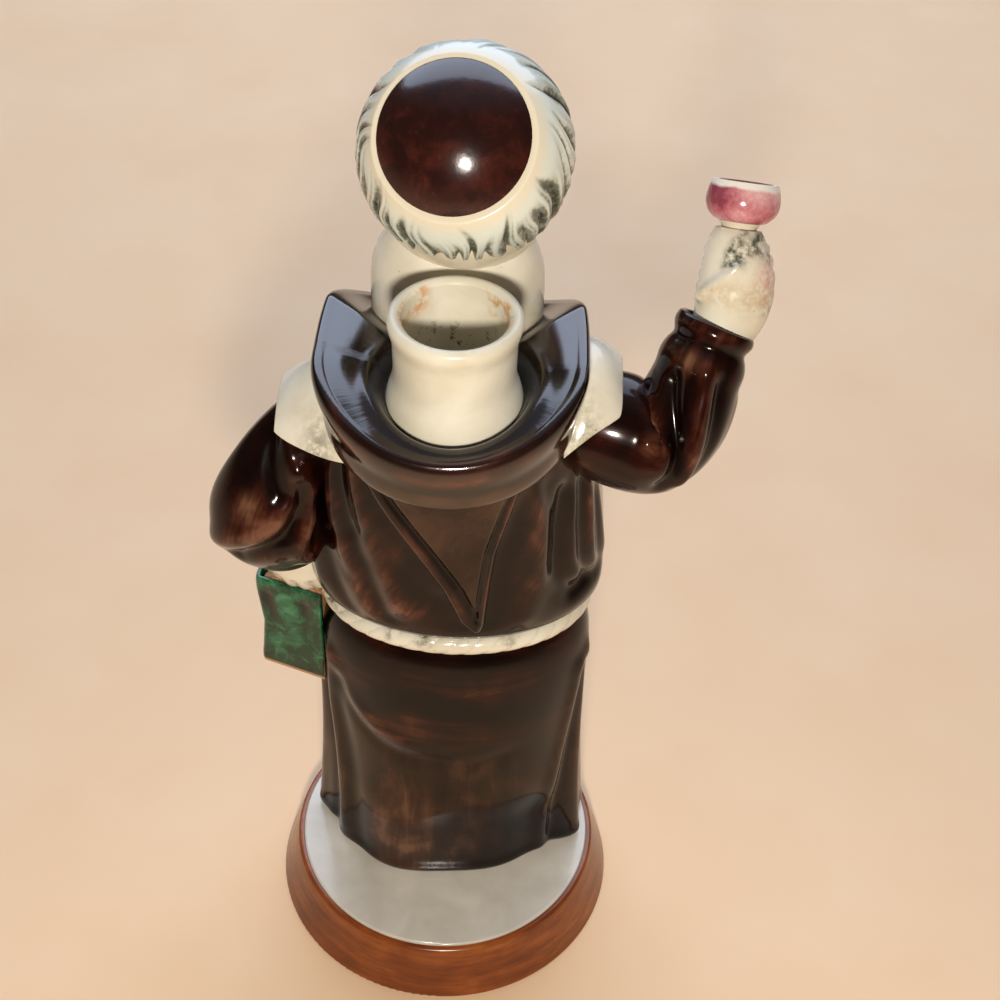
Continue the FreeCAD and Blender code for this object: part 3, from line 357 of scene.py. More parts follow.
def spout_glaze():
    """Satin ivory glaze on the bottle neck: orange cork stains in two places under the inner
    lip, and dark brown crumbs low in the bore."""
    material, tree, place = start("satin_ivory_glaze", 0.3)
    shift = (-SPOUT_X * MM, -SPOUT_Y * MM, 0.0)
    centred = add(tree, "Mapping", {"Vector": place, "Location": shift})
    parts = add(tree, "SeparateXYZ", {"Vector": centred}).node
    side, behind, height = parts.outputs
    flat = add(tree, "CombineXYZ", {"X": side, "Y": behind})
    radius = add(tree, "VectorMath", {0: flat}, out="Value", operation="LENGTH")
    inside = add(tree, "MapRange", {"Value": radius, "From Min": 14.9 * MM, "From Max": 14.2 * MM})
    cloud = add(tree, "TexNoise", {"Vector": place, "Scale": per(16.0), "Detail": 4.0, "Distortion": 0.3})
    body = add(tree, "ValToRGB", {"Fac": cloud}, stops=[(0.38, "#e7e3d1"), (0.70, "#d7d0b8")])
    spots = add(tree, "TexNoise", {"Vector": place, "Scale": per(4.0), "Detail": 5.0, "Roughness": 0.7})
    blot = add(tree, "MapRange", {"Value": spots, "From Min": 0.47, "From Max": 0.6})
    ring = add(tree, "MapRange", {"Value": height, "From Min": 243.0 * MM, "From Max": 248.0 * MM})
    away = add(tree, "Math", {0: side}, operation="ABSOLUTE")
    flank = add(tree, "MapRange", {"Value": away, "From Min": 6.0 * MM, "From Max": 10.0 * MM})
    stain = add(tree, "Math", {0: inside, 1: ring}, operation="MULTIPLY")
    stain = add(tree, "Math", {0: stain, 1: flank}, operation="MULTIPLY")
    stain = add(tree, "Math", {0: stain, 1: blot}, operation="MULTIPLY")
    body = add(tree, "MixRGB", {"Fac": stain, "Color1": body, "Color2": colour("#d79a55")})
    crumbs = add(tree, "TexNoise", {"Vector": place, "Scale": per(3.0), "Detail": 4.0, "Roughness": 0.7})
    dark = add(tree, "MapRange", {"Value": crumbs, "From Min": 0.57, "From Max": 0.62})
    low = add(tree, "MapRange", {"Value": height, "From Min": 243.0 * MM, "From Max": 232.0 * MM})
    crumb = add(tree, "Math", {0: inside, 1: low}, operation="MULTIPLY")
    crumb = add(tree, "Math", {0: crumb, 1: dark}, operation="MULTIPLY")
    body = add(tree, "MixRGB", {"Fac": crumb, "Color1": body, "Color2": colour("#5a2a16")})
    wave = add(tree, "TexNoise", {"Vector": place, "Scale": per(4.0), "Detail": 3.0})
    return finish(material, body, wave, 0.12, 0.4)


def plinth_glaze():
    """Rust-brown stain brushed round the plinth under a clear glaze: level streaks, paler
    where the brush ran dry, darker laps."""
    material, tree, place = start("brushed_rust_glaze", 0.22)
    level = add(tree, "Mapping", {"Vector": place, "Scale": (0.12, 0.12, 1.0)})
    streak = add(tree, "TexNoise", {"Vector": level, "Scale": per(2.6), "Detail": 5.0, "Roughness": 0.65})
    patch = add(tree, "TexNoise", {"Vector": place, "Scale": per(26.0), "Detail": 3.0, "Distortion": 0.6})
    coat = add(tree, "MixRGB", {"Fac": 0.45, "Color1": streak, "Color2": patch})
    thin = add(tree, "MapRange", {"Value": coat, "From Min": 0.34, "From Max": 0.68})
    rust = [(0.0, "#61290a"), (1.0, "#b06a34"), (0.4, "#7e3d13"), (0.75, "#97501f")]
    body = add(tree, "ValToRGB", {"Fac": thin}, stops=rust)
    return finish(material, body, streak, 0.12, 0.4)


def plate_glaze():
    """White glaze, glossy and slightly grey, pooled a little uneven on the plate."""
    material, tree, place = start("grey_white_glaze", 0.14)
    cloud = add(tree, "TexNoise", {"Vector": place, "Scale": per(18.0), "Detail": 4.0, "Distortion": 0.4})
    white = [(0.35, "#c9c3b5"), (0.75, "#e2ddd0")]
    body = add(tree, "ValToRGB", {"Fac": cloud}, stops=white)
    wave = add(tree, "TexNoise", {"Vector": place, "Scale": per(9.0), "Detail": 3.0})
    return finish(material, body, wave, 0.25, 0.35)


def green_glaze():
    """Copper-green glaze dabbed on the book: bright where thin, nearly black where it
    pools, run together in firing, with a bare tan strip along the foot."""
    material, tree, place = start("mottled_green_glaze", 0.12)
    pool = add(tree, "Attribute", attribute_name="pool", out="Fac")
    bare = add(tree, "Attribute", attribute_name="bare", out="Fac")
    cloud = {"Vector": place, "Detail": 5.0, "Roughness": 0.62, "Distortion": 0.9}
    dab = add(tree, "TexNoise", {"Scale": per(6.0), **cloud})
    run = add(tree, "Math", {0: pool, 1: -0.55, 2: dab}, operation="MULTIPLY_ADD")
    thin = add(tree, "MapRange", {"Value": run, "From Min": 0.2, "From Max": 0.86})
    green = [(0.0, "#05140c"), (1.0, "#a9cba6"), (0.35, "#123f27"), (0.6, "#2b6f4a"), (0.82, "#5f9c78")]
    body = add(tree, "ValToRGB", {"Fac": thin}, stops=green)
    body = add(tree, "MixRGB", {"Fac": bare, "Color1": body, "Color2": colour("#b58a66")})
    wave = add(tree, "TexNoise", {"Vector": place, "Scale": per(3.0), "Detail": 3.0})
    return finish(material, body, wave, 0.2, 0.4)


def page_glaze():
    """Tan stain on the edges of the pages, with fine lines of the leaves."""
    material, tree, place = start("tan_stain_glaze", 0.35)
    leaves = add(tree, "Mapping", {"Vector": place, "Scale": (1.0, 1.0, 0.1)})
    line = add(tree, "TexNoise", {"Vector": leaves, "Scale": per(1.2), "Detail": 3.0})
    body = add(tree, "ValToRGB", {"Fac": line}, stops=[(0.35, "#94683f"), (0.65, "#c39a72")])
    return finish(material, body, line, 0.2, 0.5)


def goblet_glaze(foot, height_mm):
    """Pink glaze dabbed in rounded patches round the bowl, deeper at their rims, with a
    bare white lip."""
    material, tree, place = start("dabbed_pink_glaze", 0.15)
    centred = add(tree, "VectorMath", {0: place, 1: (foot * MM).tolist()}, operation="SUBTRACT")
    up = add(tree, "VectorMath", {0: centred, 1: GOBLET_AXIS.tolist()}, out="Value", operation="DOT_PRODUCT")
    cells = add(tree, "TexVoronoi", {"Vector": place, "Scale": per(12.0)})
    rim = add(tree, "MapRange", {"Value": cells, "From Min": 0.2, "From Max": 0.75})
    grain = add(tree, "TexNoise", {"Vector": place, "Scale": per(1.4), "Detail": 4.0, "Roughness": 0.7})
    depth = add(tree, "MixRGB", {"Fac": 0.45, "Color1": rim, "Color2": grain})
    thick = add(tree, "MapRange", {"Value": depth, "From Min": 0.2, "From Max": 0.75})
    pink = [(0.0, "#e8c0ba"), (1.0, "#8f4050"), (0.45, "#cf8c92"), (0.8, "#b3606c")]
    body = add(tree, "ValToRGB", {"Fac": thick}, stops=pink)
    wobble = add(tree, "TexNoise", {"Vector": place, "Scale": per(8.0), "Detail": 2.0})
    edge = add(tree, "Math", {0: wobble, 1: 2.4 * MM, 2: up}, operation="MULTIPLY_ADD")
    low, high = (height_mm - 0.7) * MM, (height_mm + 0.1) * MM
    lip = add(tree, "MapRange", {"Value": edge, "From Min": low, "From Max": high})
    body = add(tree, "MixRGB", {"Fac": lip, "Color1": body, "Color2": colour("#eee8dc")})
    return finish(material, body, grain, 0.1, 0.3)


def face_paint():
    """Flesh painted on the front of ivory ware under a clear glaze: blushed cheeks, drawn
    brows, lids and lips, with the eyes' own colours in rings."""
    material, tree, place = start("painted_flesh_glaze", 0.18)
    cloud = add(tree, "TexNoise", {"Vector": place, "Scale": per(10.0), "Detail": 3.0})
    body = add(tree, "ValToRGB", {"Fac": cloud}, stops=[(0.38, "#ece4cd"), (0.68, "#dacfb2")])
    layers = (
        ("flesh", "#e8ceb2"),
        ("blush", "#d98c78"),
        ("lips", "#b0574f"),
        ("brows", "#5c493a"),
        ("whites", "#efe9dc"),
        ("iris", "#5a3d28"),
        ("pupil", "#120c0a"),
        ("lids", "#4a342a"),
    )
    for label, code in layers:
        amount = add(tree, "Attribute", attribute_name=label, out="Fac")
        body = add(tree, "MixRGB", {"Fac": amount, "Color1": body, "Color2": colour(code)})
    wave = add(tree, "TexNoise", {"Vector": place, "Scale": per(4.0), "Detail": 3.0})
    return finish(material, body, wave, 0.1, 0.3)


def card_floor():
    """Plain pale floor: matt card with a faint tooth."""
    material, tree, place = start("pale_card", 0.75, 1.45)
    cloud = add(tree, "TexNoise", {"Vector": place, "Scale": per(60.0), "Detail": 3.0})
    body = add(tree, "ValToRGB", {"Fac": cloud}, stops=[(0.3, "#edc9a0"), (0.7, "#f0cfa8")])
    return finish(material, body, cloud, 0.1, 0.1)


ROBE = robe_glaze("brushed_brown_glaze", 1.36)
HOOD = robe_glaze("thick_brown_glaze", 1.7)
IVORY = ivory_glaze()
HAIR = hair_glaze()
GREEN = green_glaze()
PAGES = page_glaze()
FACE = face_paint()

# Robe. The tables of rows and folds are those of the solids: rows give shares of the
# height and of the way between sizes; folds give shares of depth and width, then places
# as shares of a turn, from the left hand round by the back, and of the height.
AROUND = np.linspace(0, 360, 400, endpoint=False)[None, :]
SKIRT_ROWS = (
    (0.00, 0.00, 0.00, 1.00),
    (0.07, 0.12, 0.00, 1.00),
    (0.20, 0.50, 0.00, 1.00),
    (0.38, 0.90, 0.00, 0.85),
    (0.56, 1.00, 0.00, 0.55),
    (0.72, 0.80, 0.00, 0.25),
    (0.85, 0.70, 0.02, 0.10),
    (0.93, 0.80, 0.22, 0.00),
    (0.97, 1.00, 0.72, 0.00),
    (1.00, 1.00, 1.00, 0.00),
)
TRUNK_ROWS = (
    (0.00, 0.00, 0.00, 0.00, 0.00),
    (0.03, 0.32, 0.00, 0.00, 0.00),
    (0.08, 0.98, 0.00, 0.30, 0.20),
    (0.20, 1.06, 0.00, 1.00, 0.50),
    (0.38, 1.04, 0.08, 1.00, 0.80),
    (0.56, 1.00, 0.26, 0.90, 1.00),
    (0.74, 1.00, 0.50, 0.60, 1.00),
    (0.88, 1.00, 0.76, 0.25, 1.00),
    (0.96, 1.00, 0.93, 0.00, 1.00),
    (1.00, 1.00, 1.00, 0.00, 1.00),
)
# Half-width, back and front at each level
HEM, HIP, WAIST_SIZE = (44.6, 28.6, 33.0), (41.8, 29.6, 36.0), (36.6, 23.6, 30.0)
CHEST, SHOULDER = (44.6, 31.0, 39.0), (31.0, 41.7, 27.0)
HIP_GIRTH, CHEST_GIRTH = (math.pi * (half + (back + front) / 2) for half, back, front in (HIP, CHEST))
SKIRT_FOLDS = (
    (1.00, 1.15, ((0.011, 0.85), (0.006, 0.62), (0.010, 0.36), (0.006, 0.02))),
    (-1.30, 1.00, ((0.042, 0.80), (0.036, 0.60), (0.050, 0.41), (0.061, 0.22), (0.064, 0.01))),
    (1.00, 0.85, ((0.067, 0.82), (0.061, 0.62), (0.078, 0.44), (0.089, 0.27), (0.100, 0.06))),
    (-0.40, 0.95, ((0.095, 0.76), (0.088, 0.64), (0.106, 0.46), (0.119, 0.27), (0.130, 0.04))),
    (0.55, 1.00, ((0.083, 0.80), (0.111, 0.70), (0.153, 0.63), (0.194, 0.59))),
    (-0.60, 0.80, ((0.092, 0.74), (0.128, 0.63), (0.167, 0.57), (0.197, 0.54))),
    (1.30, 4.00, ((0.186, 0.26), (0.184, 0.00))),
    (-0.40, 0.65, ((0.200, 0.55), (0.244, 0.54), (0.272, 0.53), (0.322, 0.56))),
    (-1.50, 3.40, ((0.364, 0.22), (0.370, 0.00))),
    (1.10, 0.90, ((0.439, 0.80), (0.422, 0.58), (0.403, 0.37), (0.386, 0.20), (0.380, 0.04))),
    (-1.20, 1.15, ((0.456, 0.76), (0.439, 0.57), (0.419, 0.36), (0.406, 0.18), (0.402, 0.03))),
    (0.80, 1.10, ((0.467, 0.82), (0.458, 0.53), (0.450, 0.27), (0.447, 0.01))),
    (-1.00, 0.90, ((0.489, 0.80), (0.483, 0.45), (0.478, 0.02))),
    (0.50, 1.50, ((0.528, 0.70), (0.528, 0.02))),
)
# Dark laps of the brush, in the same terms
SKIRT_LAPS = (
    (1.00, 1.60, ((0.050, 0.93), (0.052, 0.72), (0.077, 0.66), (0.163, 0.75), (0.215, 0.80))),
    (0.95, 1.50, ((0.222, 0.79), (0.296, 0.74), (0.345, 0.72), (0.385, 0.73))),
    (0.55, 0.90, ((0.205, 0.61), (0.245, 0.57), (0.300, 0.60))),
)
TRUNK_FOLDS = (
    (-0.90, 1.00, ((0.150, 0.86), (0.178, 0.72), (0.208, 0.55), (0.232, 0.37), (0.255, 0.16))),
    (-0.90, 0.90, ((0.350, 0.90), (0.317, 0.72), (0.297, 0.55), (0.286, 0.31), (0.286, 0.17))),
    (0.90, 1.10, ((0.120, 0.84), (0.155, 0.65), (0.185, 0.42), (0.205, 0.22))),
    (-0.85, 0.90, ((0.097, 0.82), (0.133, 0.60), (0.165, 0.39), (0.190, 0.15))),
    (0.80, 1.20, ((0.072, 0.75), (0.108, 0.56), (0.142, 0.37), (0.169, 0.16))),
    (-0.80, 0.90, ((0.055, 0.65), (0.083, 0.47), (0.111, 0.31), (0.136, 0.14))),
    (0.70, 1.20, ((0.031, 0.56), (0.058, 0.38), (0.086, 0.20))),
    (0.80, 1.40, ((0.336, 0.83), (0.344, 0.62), (0.339, 0.38), (0.322, 0.18))),
    (-0.80, 1.05, ((0.364, 0.80), (0.364, 0.56), (0.356, 0.34))),
    (-1.90, 1.10, ((0.392, 0.72), (0.372, 0.56), (0.364, 0.41), (0.372, 0.28), (0.392, 0.21), (0.411, 0.24))),
    (0.90, 0.80, ((0.417, 0.74), (0.394, 0.56), (0.386, 0.40), (0.394, 0.31))),
    (-1.50, 0.90, ((0.425, 0.72), (0.408, 0.54), (0.406, 0.38), (0.420, 0.26), (0.440, 0.23))),
    (0.90, 0.75, ((0.447, 0.65), (0.428, 0.49), (0.425, 0.37), (0.433, 0.30))),
    (-1.00, 0.70, ((0.464, 0.58), (0.447, 0.45), (0.442, 0.33), (0.453, 0.26))),
    (0.80, 0.80, ((0.480, 0.58), (0.466, 0.42), (0.466, 0.29))),
    (0.80, 1.40, ((0.656, 0.82), (0.678, 0.54), (0.694, 0.20))),
    (-0.75, 1.10, ((0.683, 0.83), (0.700, 0.54), (0.711, 0.17))),
    (0.75, 1.30, ((0.711, 0.76), (0.725, 0.48), (0.731, 0.15))),
    (-0.75, 1.00, ((0.742, 0.72), (0.746, 0.45), (0.746, 0.15))),
    (0.75, 1.30, ((0.778, 0.74), (0.769, 0.48), (0.761, 0.15))),
    (-0.75, 1.10, ((0.806, 0.81), (0.794, 0.51), (0.781, 0.17))),
    (0.80, 1.40, ((0.842, 0.82), (0.819, 0.54), (0.803, 0.20))),
)
# Pouches of cloth on the left of the back, in the same terms
TRUNK_POUCHES = (
    (0.80, 0.75, ((0.189, 0.61), (0.212, 0.48), (0.239, 0.34))),
    (-0.60, 0.45, ((0.104, 0.46), (0.125, 0.50), (0.144, 0.54), (0.173, 0.57))),
    (-0.50, 0.50, ((0.104, 0.46), (0.118, 0.38), (0.140, 0.31), (0.165, 0.30))),
    (0.55, 0.90, ((0.196, 0.40), (0.203, 0.32), (0.192, 0.20))),
    (-0.55, 0.50, ((0.182, 0.42), (0.192, 0.44), (0.204, 0.42), (0.212, 0.34))),
    (0.50, 0.80, ((0.150, 0.48), (0.158, 0.38), (0.170, 0.30))),
)


def between(first, second, share):
    """Three sizes, half-width, back and front, a share of the way between two sets."""
    return [a + (b - a) * share for a, b in zip(first, second)]


def oval(z, sizes, corner, lift):
    """Two half ovals about the figure's axis, squarer as the corner power falls from 1,
    moved out along their normals by lift."""
    half, back, front = sizes
    c, s = np.cos(np.radians(AROUND)), np.sin(np.radians(AROUND))
    depth = np.where(s > 0, back, front)
    nx, ny = c / half, s / depth
    size = np.hypot(nx, ny)
    x = half * power(c, corner) + lift * nx / size
    y = depth * power(s, corner) + lift * ny / size
    return np.stack([AXIS_X + x, AXIS_Y + y, z + 0 * x], -1)


def cloth_wave(count, turn, depth):
    """Even folds round the cloth: a main wave and a slower one, fading toward the back."""
    a = np.radians(AROUND)
    wave = 0.62 * np.cos(count * a + turn) + 0.38 * np.cos((count - 4) * a - turn)
    return depth * wave * (1 - np.sin(a)) / 2


def cloth_folds(folds, depth, width, girth, height, up):
    """Relief of a table of folds on the unrolled cloth, carried past the end of the turn."""
    lines = []
    for high, wide, run in folds:
        lines.append((depth * high, width * wide, [(girth * t, height * u) for t, u in run]))
    across = girth * AROUND / 360
    return strokes(across, up, lines) + strokes(across - girth, up, lines)


def from_front(girth):
    """Length round the cloth, counted both ways from the middle of the front."""
    return np.abs(AROUND - 270) * girth / 360


def skirt():
    """Lower robe: the outer wall up from the hem, over the top, down the inner wall and
    back under the hem, one closed loop of rows. Its relief is the even waves, the table of
    folds, a full seat and a rounded hem; the folds fade out below the belt."""
    cloth = (HIP_GIRTH, SKIRT_HEIGHT)
    fold_depth, fold_width, wave_depth, lap_width = 2.0, 2.8, 2.0, 2.6
    bare, fade = 3.2, 11.3
    height, to_hip, to_waist, folds = row_values(SKIRT_ROWS, np.linspace(0, 1, 190))
    sizes = between(between(HEM, HIP, to_hip), WAIST_SIZE, to_waist)
    up = SKIRT_HEIGHT * height
    clear = np.clip((SKIRT_HEIGHT - up - bare) / fade, 0, 1)
    relief = soften(cloth_folds(SKIRT_FOLDS, fold_depth, fold_width, *cloth, up) * clear, 20)
    seat = 0.9 * bell(AROUND - 92, 46) * bell(up - 80, 17)
    hem = 0.5 * bell(up - 3.0, 2.6) - 0.9 * bell(up, 1.3)
    lift = relief + cloth_wave(11, math.radians(20), wave_depth * folds) + seat + hem
    outer = oval(PLATE_TOP + up, sizes, 1, lift)
    inner = oval(PLATE_TOP + up, sizes, 1, -ROBE_WALL)[::-8]
    points = np.concatenate([outer, inner])
    laps = cloth_folds(SKIRT_LAPS, 1.0, lap_width, *cloth, up)
    dark = 1.3 * laps + 0.5 * ease(15, 8, up + 1.5 * np.sin(np.radians(5 * AROUND)))
    ridge = np.clip(relief / 2.4, -1.4, 0.8) - dark + 0.35 * bell(up - 76, 9) * ease(0, 30, AROUND)
    upper = ease(58, 68, up) * ease(6, 30, AROUND) * ease(176, 150, AROUND)
    # Lower skirt and its far sides greyer: partly a thinner wash, partly a painted satin reflection
    grey = 0.85 * ease(74, 60, up) + 0.5 * ease(30, 5, AROUND) + 0.5 * ease(150, 175, AROUND)
    marks = {
        "ridge": padded(ridge, len(inner), -1),
        "bands": padded(upper, len(inner)),
        "grey": padded(np.clip(grey, 0, 1), len(inner)),
    }
    brush = (from_front(HIP_GIRTH), points[..., 2])
    piece("robe_skirt_folds", points, ROBE, "robe_skirt", marks, True, brush)


def trunk_form(places):
    """Height, sizes, corner power and share of the waves of the upper robe."""
    height, to_chest, to_top, folds, square = row_values(TRUNK_ROWS, places)
    sizes = between(between(WAIST_SIZE, CHEST, to_chest), SHOULDER, to_top)
    return height, sizes, 1 - 0.2 * square, folds


def trunk_back(x, z):
    """Distance of the back of the upper robe from the axis plane at places x and z."""
    height, (half, back, _), corner, _ = trunk_form(np.linspace(0, 1, 400))
    level = WAIST + TRUNK_HEIGHT * height[:, 0]
    half, back, corner = (np.interp(z, level, line[:, 0]) for line in (half, back, corner))
    across = np.clip(np.abs(x - AXIS_X) / half, 0, 0.999) ** (1 / corner)
    return AXIS_Y + back * np.sqrt(1 - across**2) ** corner


def trunk():
    """Upper robe: outer wall up from the belt, top wall in to the hole for the bottle
    neck, through it, and down the inner wall, one closed loop of rows. Its relief is the
    even waves, the table of folds and the pouches, fading out at both ends."""
    cloth = (CHEST_GIRTH, TRUNK_HEIGHT)
    fold_depth, fold_width, pouch_depth, pouch_width, wave_depth = 1.75, 2.4, 1.6, 3.0, 1.6
    bare, fade = 3.2, 8.8
    height, sizes, corner, folds = trunk_form(np.linspace(0, 1, 170))
    up = TRUNK_HEIGHT * height
    clear = np.clip((np.minimum(up, TRUNK_HEIGHT - up) - bare) / fade, 0, 1)
    relief = cloth_folds(TRUNK_FOLDS, fold_depth, fold_width, *cloth, up)
    relief = relief + cloth_folds(TRUNK_POUCHES, pouch_depth, pouch_width, *cloth, up)
    relief = soften(relief * clear, 22)
    lift = relief + cloth_wave(9, math.radians(110) * height, wave_depth * folds)
    outer = oval(WAIST + up, sizes, corner, lift)
    inner = oval(WAIST + (TRUNK_HEIGHT - ROBE_WALL) * height, sizes, corner, -ROBE_WALL)[::-8]
    turn = np.radians(AROUND)
    ring = np.stack([SPOUT_X + SPOUT_HOLE * np.cos(turn), SPOUT_Y + SPOUT_HOLE * np.sin(turn), 0 * turn], -1)
    over = np.linspace(0, 1, 8)[1:, None, None]
    top = outer[-1:] * (1 - over) + (ring + TRUNK_TOP * UP) * over
    under = (ring + (TRUNK_TOP - ROBE_WALL) * UP) * (1 - over) + inner[:1] * over
    points = np.concatenate([outer, top, under[:-1], inner])
    more = len(points) - len(outer)
    # The right of the back is painted greyer, a painted blue-grey reflection, and a little darker; the left a
    # little lighter and redder
    right = ease(108, 120, AROUND) * ease(165, 140, AROUND)
    left = ease(85, 60, AROUND) * ease(20, 40, AROUND)
    ridge = np.clip(relief / 1.7, -1.5, 0.85) + 0.2 * left - 0.2 * right
    marks = {"ridge": padded(ridge, more, -1), "grey": padded(0.35 * ease(14, 4, up) + 0.3 * right, more)}
    slant = points[..., 2] * 0.5 + from_front(CHEST_GIRTH)
    piece("robe_trunk_folds", points, ROBE, "robe_trunk", marks, True, (slant, points[..., 2]))


def rope_belt():
    """Rope belt: a cord carried round the waist oval. Its section is a circle whose three
    strands stand out a little, and they turn as the cord runs on, once in about 18 mm."""
    turn = turns(720)
    radius, bed, lay = 3.2, 1.1, 18.0
    half, back, front = (size + radius - bed for size in WAIST_SIZE)
    depth = np.where(np.sin(turn) > 0, back, front)
    line = np.stack([AXIS_X + half * np.cos(turn), AXIS_Y + depth * np.sin(turn), 0 * turn + WAIST], -1)
    step = np.roll(line, -1, 0) - np.roll(line, 1, 0)
    run = np.cumsum(np.linalg.norm(step, axis=-1) / 2)
    out = np.cross(unit(step), UP)
    around = turns(48)[None, :]
    phase = 3 * (around - 2 * np.pi * round(run[-1] / lay) * (run / run[-1])[:, None])
    strand = np.abs(np.cos(phase / 2)) ** 0.6
    size = (radius * (0.93 + 0.07 * strand))[..., None]
    round_off = np.cos(around)[..., None] * out[:, None] + np.sin(around)[..., None] * UP
    angle = np.degrees(turn)[:, None]
    smudge = bell(angle - 78, 3.0) + 0.7 * bell(angle - 62, 2.0) + 0.6 * bell(angle - 115, 3.0)
    smudge = (smudge + bell(angle - 20, 16)) * ease(-0.2, 0.7, np.sin(around))
    smear = np.clip(0.3 * (1 - strand) ** 2 + smudge, 0, 1)
    points = line[:, None] + size * round_off
    piece("rope_belt_cord", points, IVORY, "rope_belt", {"smear": smear}, True)


def hood_collar():
    """Folded hood: rows run from the underside over a low second roll to the rim, and on as
    a broad dish that falls to a groove round the bottle neck; it closes below. Rows give
    shares of the outer size, drop, rise, saddle and dip in front."""
    rows = (
        (0.62, 1.00, 0.00, 0.00, 0.00),
        (0.80, 1.00, 0.00, 0.00, 0.30),
        (0.90, 0.84, 0.00, 0.30, 0.80),
        (0.94, 0.46, 0.00, 0.70, 1.00),
        (0.935, 0.14, 0.02, 0.80, 1.00),
        (0.985, 0.00, 0.26, 1.00, 1.00),
        (1.005, 0.00, 0.78, 1.00, 1.00),
        (0.99, 0.00, 1.06, 1.00, 1.00),
        (0.95, 0.00, 1.14, 0.98, 1.00),
        (0.90, 0.00, 1.12, 0.92, 0.92),
    )
    half_width, back_depth, front_depth, tuck = 36.8, 35.7, 56.6, 1.2
    drop_height, rise_height, saddle_height, dip_height = 13.0, 8.2, 4.6, 22.0
    foot_radius, foot_rise, foot_lift, foot_wall = 17.2, 5.0, 2.5, 4.0
    spout = [SPOUT_X, SPOUT_Y]
    places = np.linspace(0, 1, 110)
    size, drop, rise, saddle, dip = row_values(rows, places)
    side, behind = np.cos(np.radians(AROUND)), np.sin(np.radians(AROUND))
    square = np.where(behind < 0, 0.62, 1.0)
    side, behind = power(side, square), power(behind, square)
    depth = np.where(behind > 0, back_depth - tuck * behind**2 * ease(0.9, 1.0, size), front_depth)
    fall = np.clip(-behind - 0.44, 0, 1) / 0.56
    height = rise_height * rise - drop_height * drop
    height = height + saddle_height * saddle * (1 - 2 * np.clip(behind, 0, 1) ** 2)
    height = height - dip_height * dip * fall**1.3
    x = COLLAR_X + half_width * size * side
    points = np.stack([x, COLLAR_Y + depth * size * behind, TRUNK_TOP + height], -1)
    edge = points[-1]
    ring = spout + foot_radius * unit(edge[:, :2] - spout)
    level = TRUNK_TOP + foot_rise + foot_lift * side[0] ** 2
    foot = np.concatenate([ring, level[:, None]], -1)
    over = np.linspace(0, 1, 44)[1:, None, None]
    dish = edge + (foot - edge) * np.concatenate([over, over, over**2.6], -1)
    away = np.linalg.norm(dish[..., :2] - spout, axis=-1)
    dish = dish - (2.6 * bell(away - 18.6, 2.0) - 0.9 * bell(away - 22.6, 2.4))[..., None] * UP
    under = np.linspace(0, 1, 12)[1:, None, None]
    back = (foot - foot_wall * UP) * (1 - under) + points[0] * under
    grid = np.concatenate([points, dish, back[:-1]])
    more = len(grid) - len(points)
    run = places[:, None]
    tier = 0.5 * bell(run - 0.30, 0.12) - 1.5 * bell(run - 0.47, 0.05) + 0.6 * bell(run - 0.62, 0.08)
    far = np.linalg.norm(grid[..., :2] - spout, axis=-1)
    marks = {
        "ridge": padded(tier, more, -0.45) - 0.9 * bell(far - 19.4, 2.4),
        "bands": np.ones((1, 1)),
        "grey": padded(0.9 * bell(run - 0.28, 0.16), more, 0.1),
    }
    brush = (from_front(CHEST_GIRTH), far)
    piece("hood_collar_roll", grid, HOOD, "hood_collar", marks, True, brush)


def hood_tail():
    """Tail of the hood: a flap between two edge lines that meet in a tip, lying on the back
    of the robe. A broad roll runs down its left edge and a thin one down its right, each
    with a groove beside the smooth face between them. Lines give shares of the length and
    of the half width."""
    left_line = ((0, 1.0), (0.22, 0.72), (0.53, 0.34), (0.74, 0.09), (0.93, -0.07), (0.99, -0.18), (1, -0.24))
    right_line = ((0, -0.70), (0.22, -0.56), (0.53, -0.40), (0.74, -0.35), (0.95, -0.31), (1, -0.28))
    half_width, length, thickness, rounding, sunk, columns = 32.4, 75.0, 2.6, 2.2, 1.5, 80
    down = np.linspace(0, 1, 120)[:, None]
    left, right = (AXIS_X + half_width * np.interp(down, *np.array(run).T) for run in (left_line, right_line))
    across = np.linspace(0, 1, columns)
    around = np.concatenate([across, across[::-1]])[None, :]
    top = np.repeat([1.0, 0.0], columns)[None, :]
    x = left + (right - left) * around
    from_left, from_right = left - x, x - right
    edge = np.minimum(from_left, from_right)
    puff = thickness * np.sqrt(np.clip(1 - np.clip(1 - edge / rounding, 0, 1) ** 2, 0, 1))
    shown = ease(0.05, 0.3, down) * ease(5, 12, left - right)
    roll = 0.6 * bell(from_left - 2.4, 1.8) - 1.1 * bell(from_left - 5.6, 1.1)
    roll = (roll + 0.4 * bell(from_right - 1.2, 1.1) - 0.8 * bell(from_right - 3.0, 0.9)) * shown
    z = TRUNK_TOP - length * down + 0 * x
    y = trunk_back(x, z) + top * (puff + roll) - (1 - top) * sunk
    face = ease(4.4, 6.4, from_left) * ease(2.2, 3.6, from_right)
    marks = {"ridge": np.clip(0.15 * face + 1.1 * roll, -1.5, 0.8), "grey": face}
    points = np.stack([x, y, z], -1)
    piece("hood_tail_flap", points, ROBE, "hood_tail", marks, False, (x * 0.25, z))


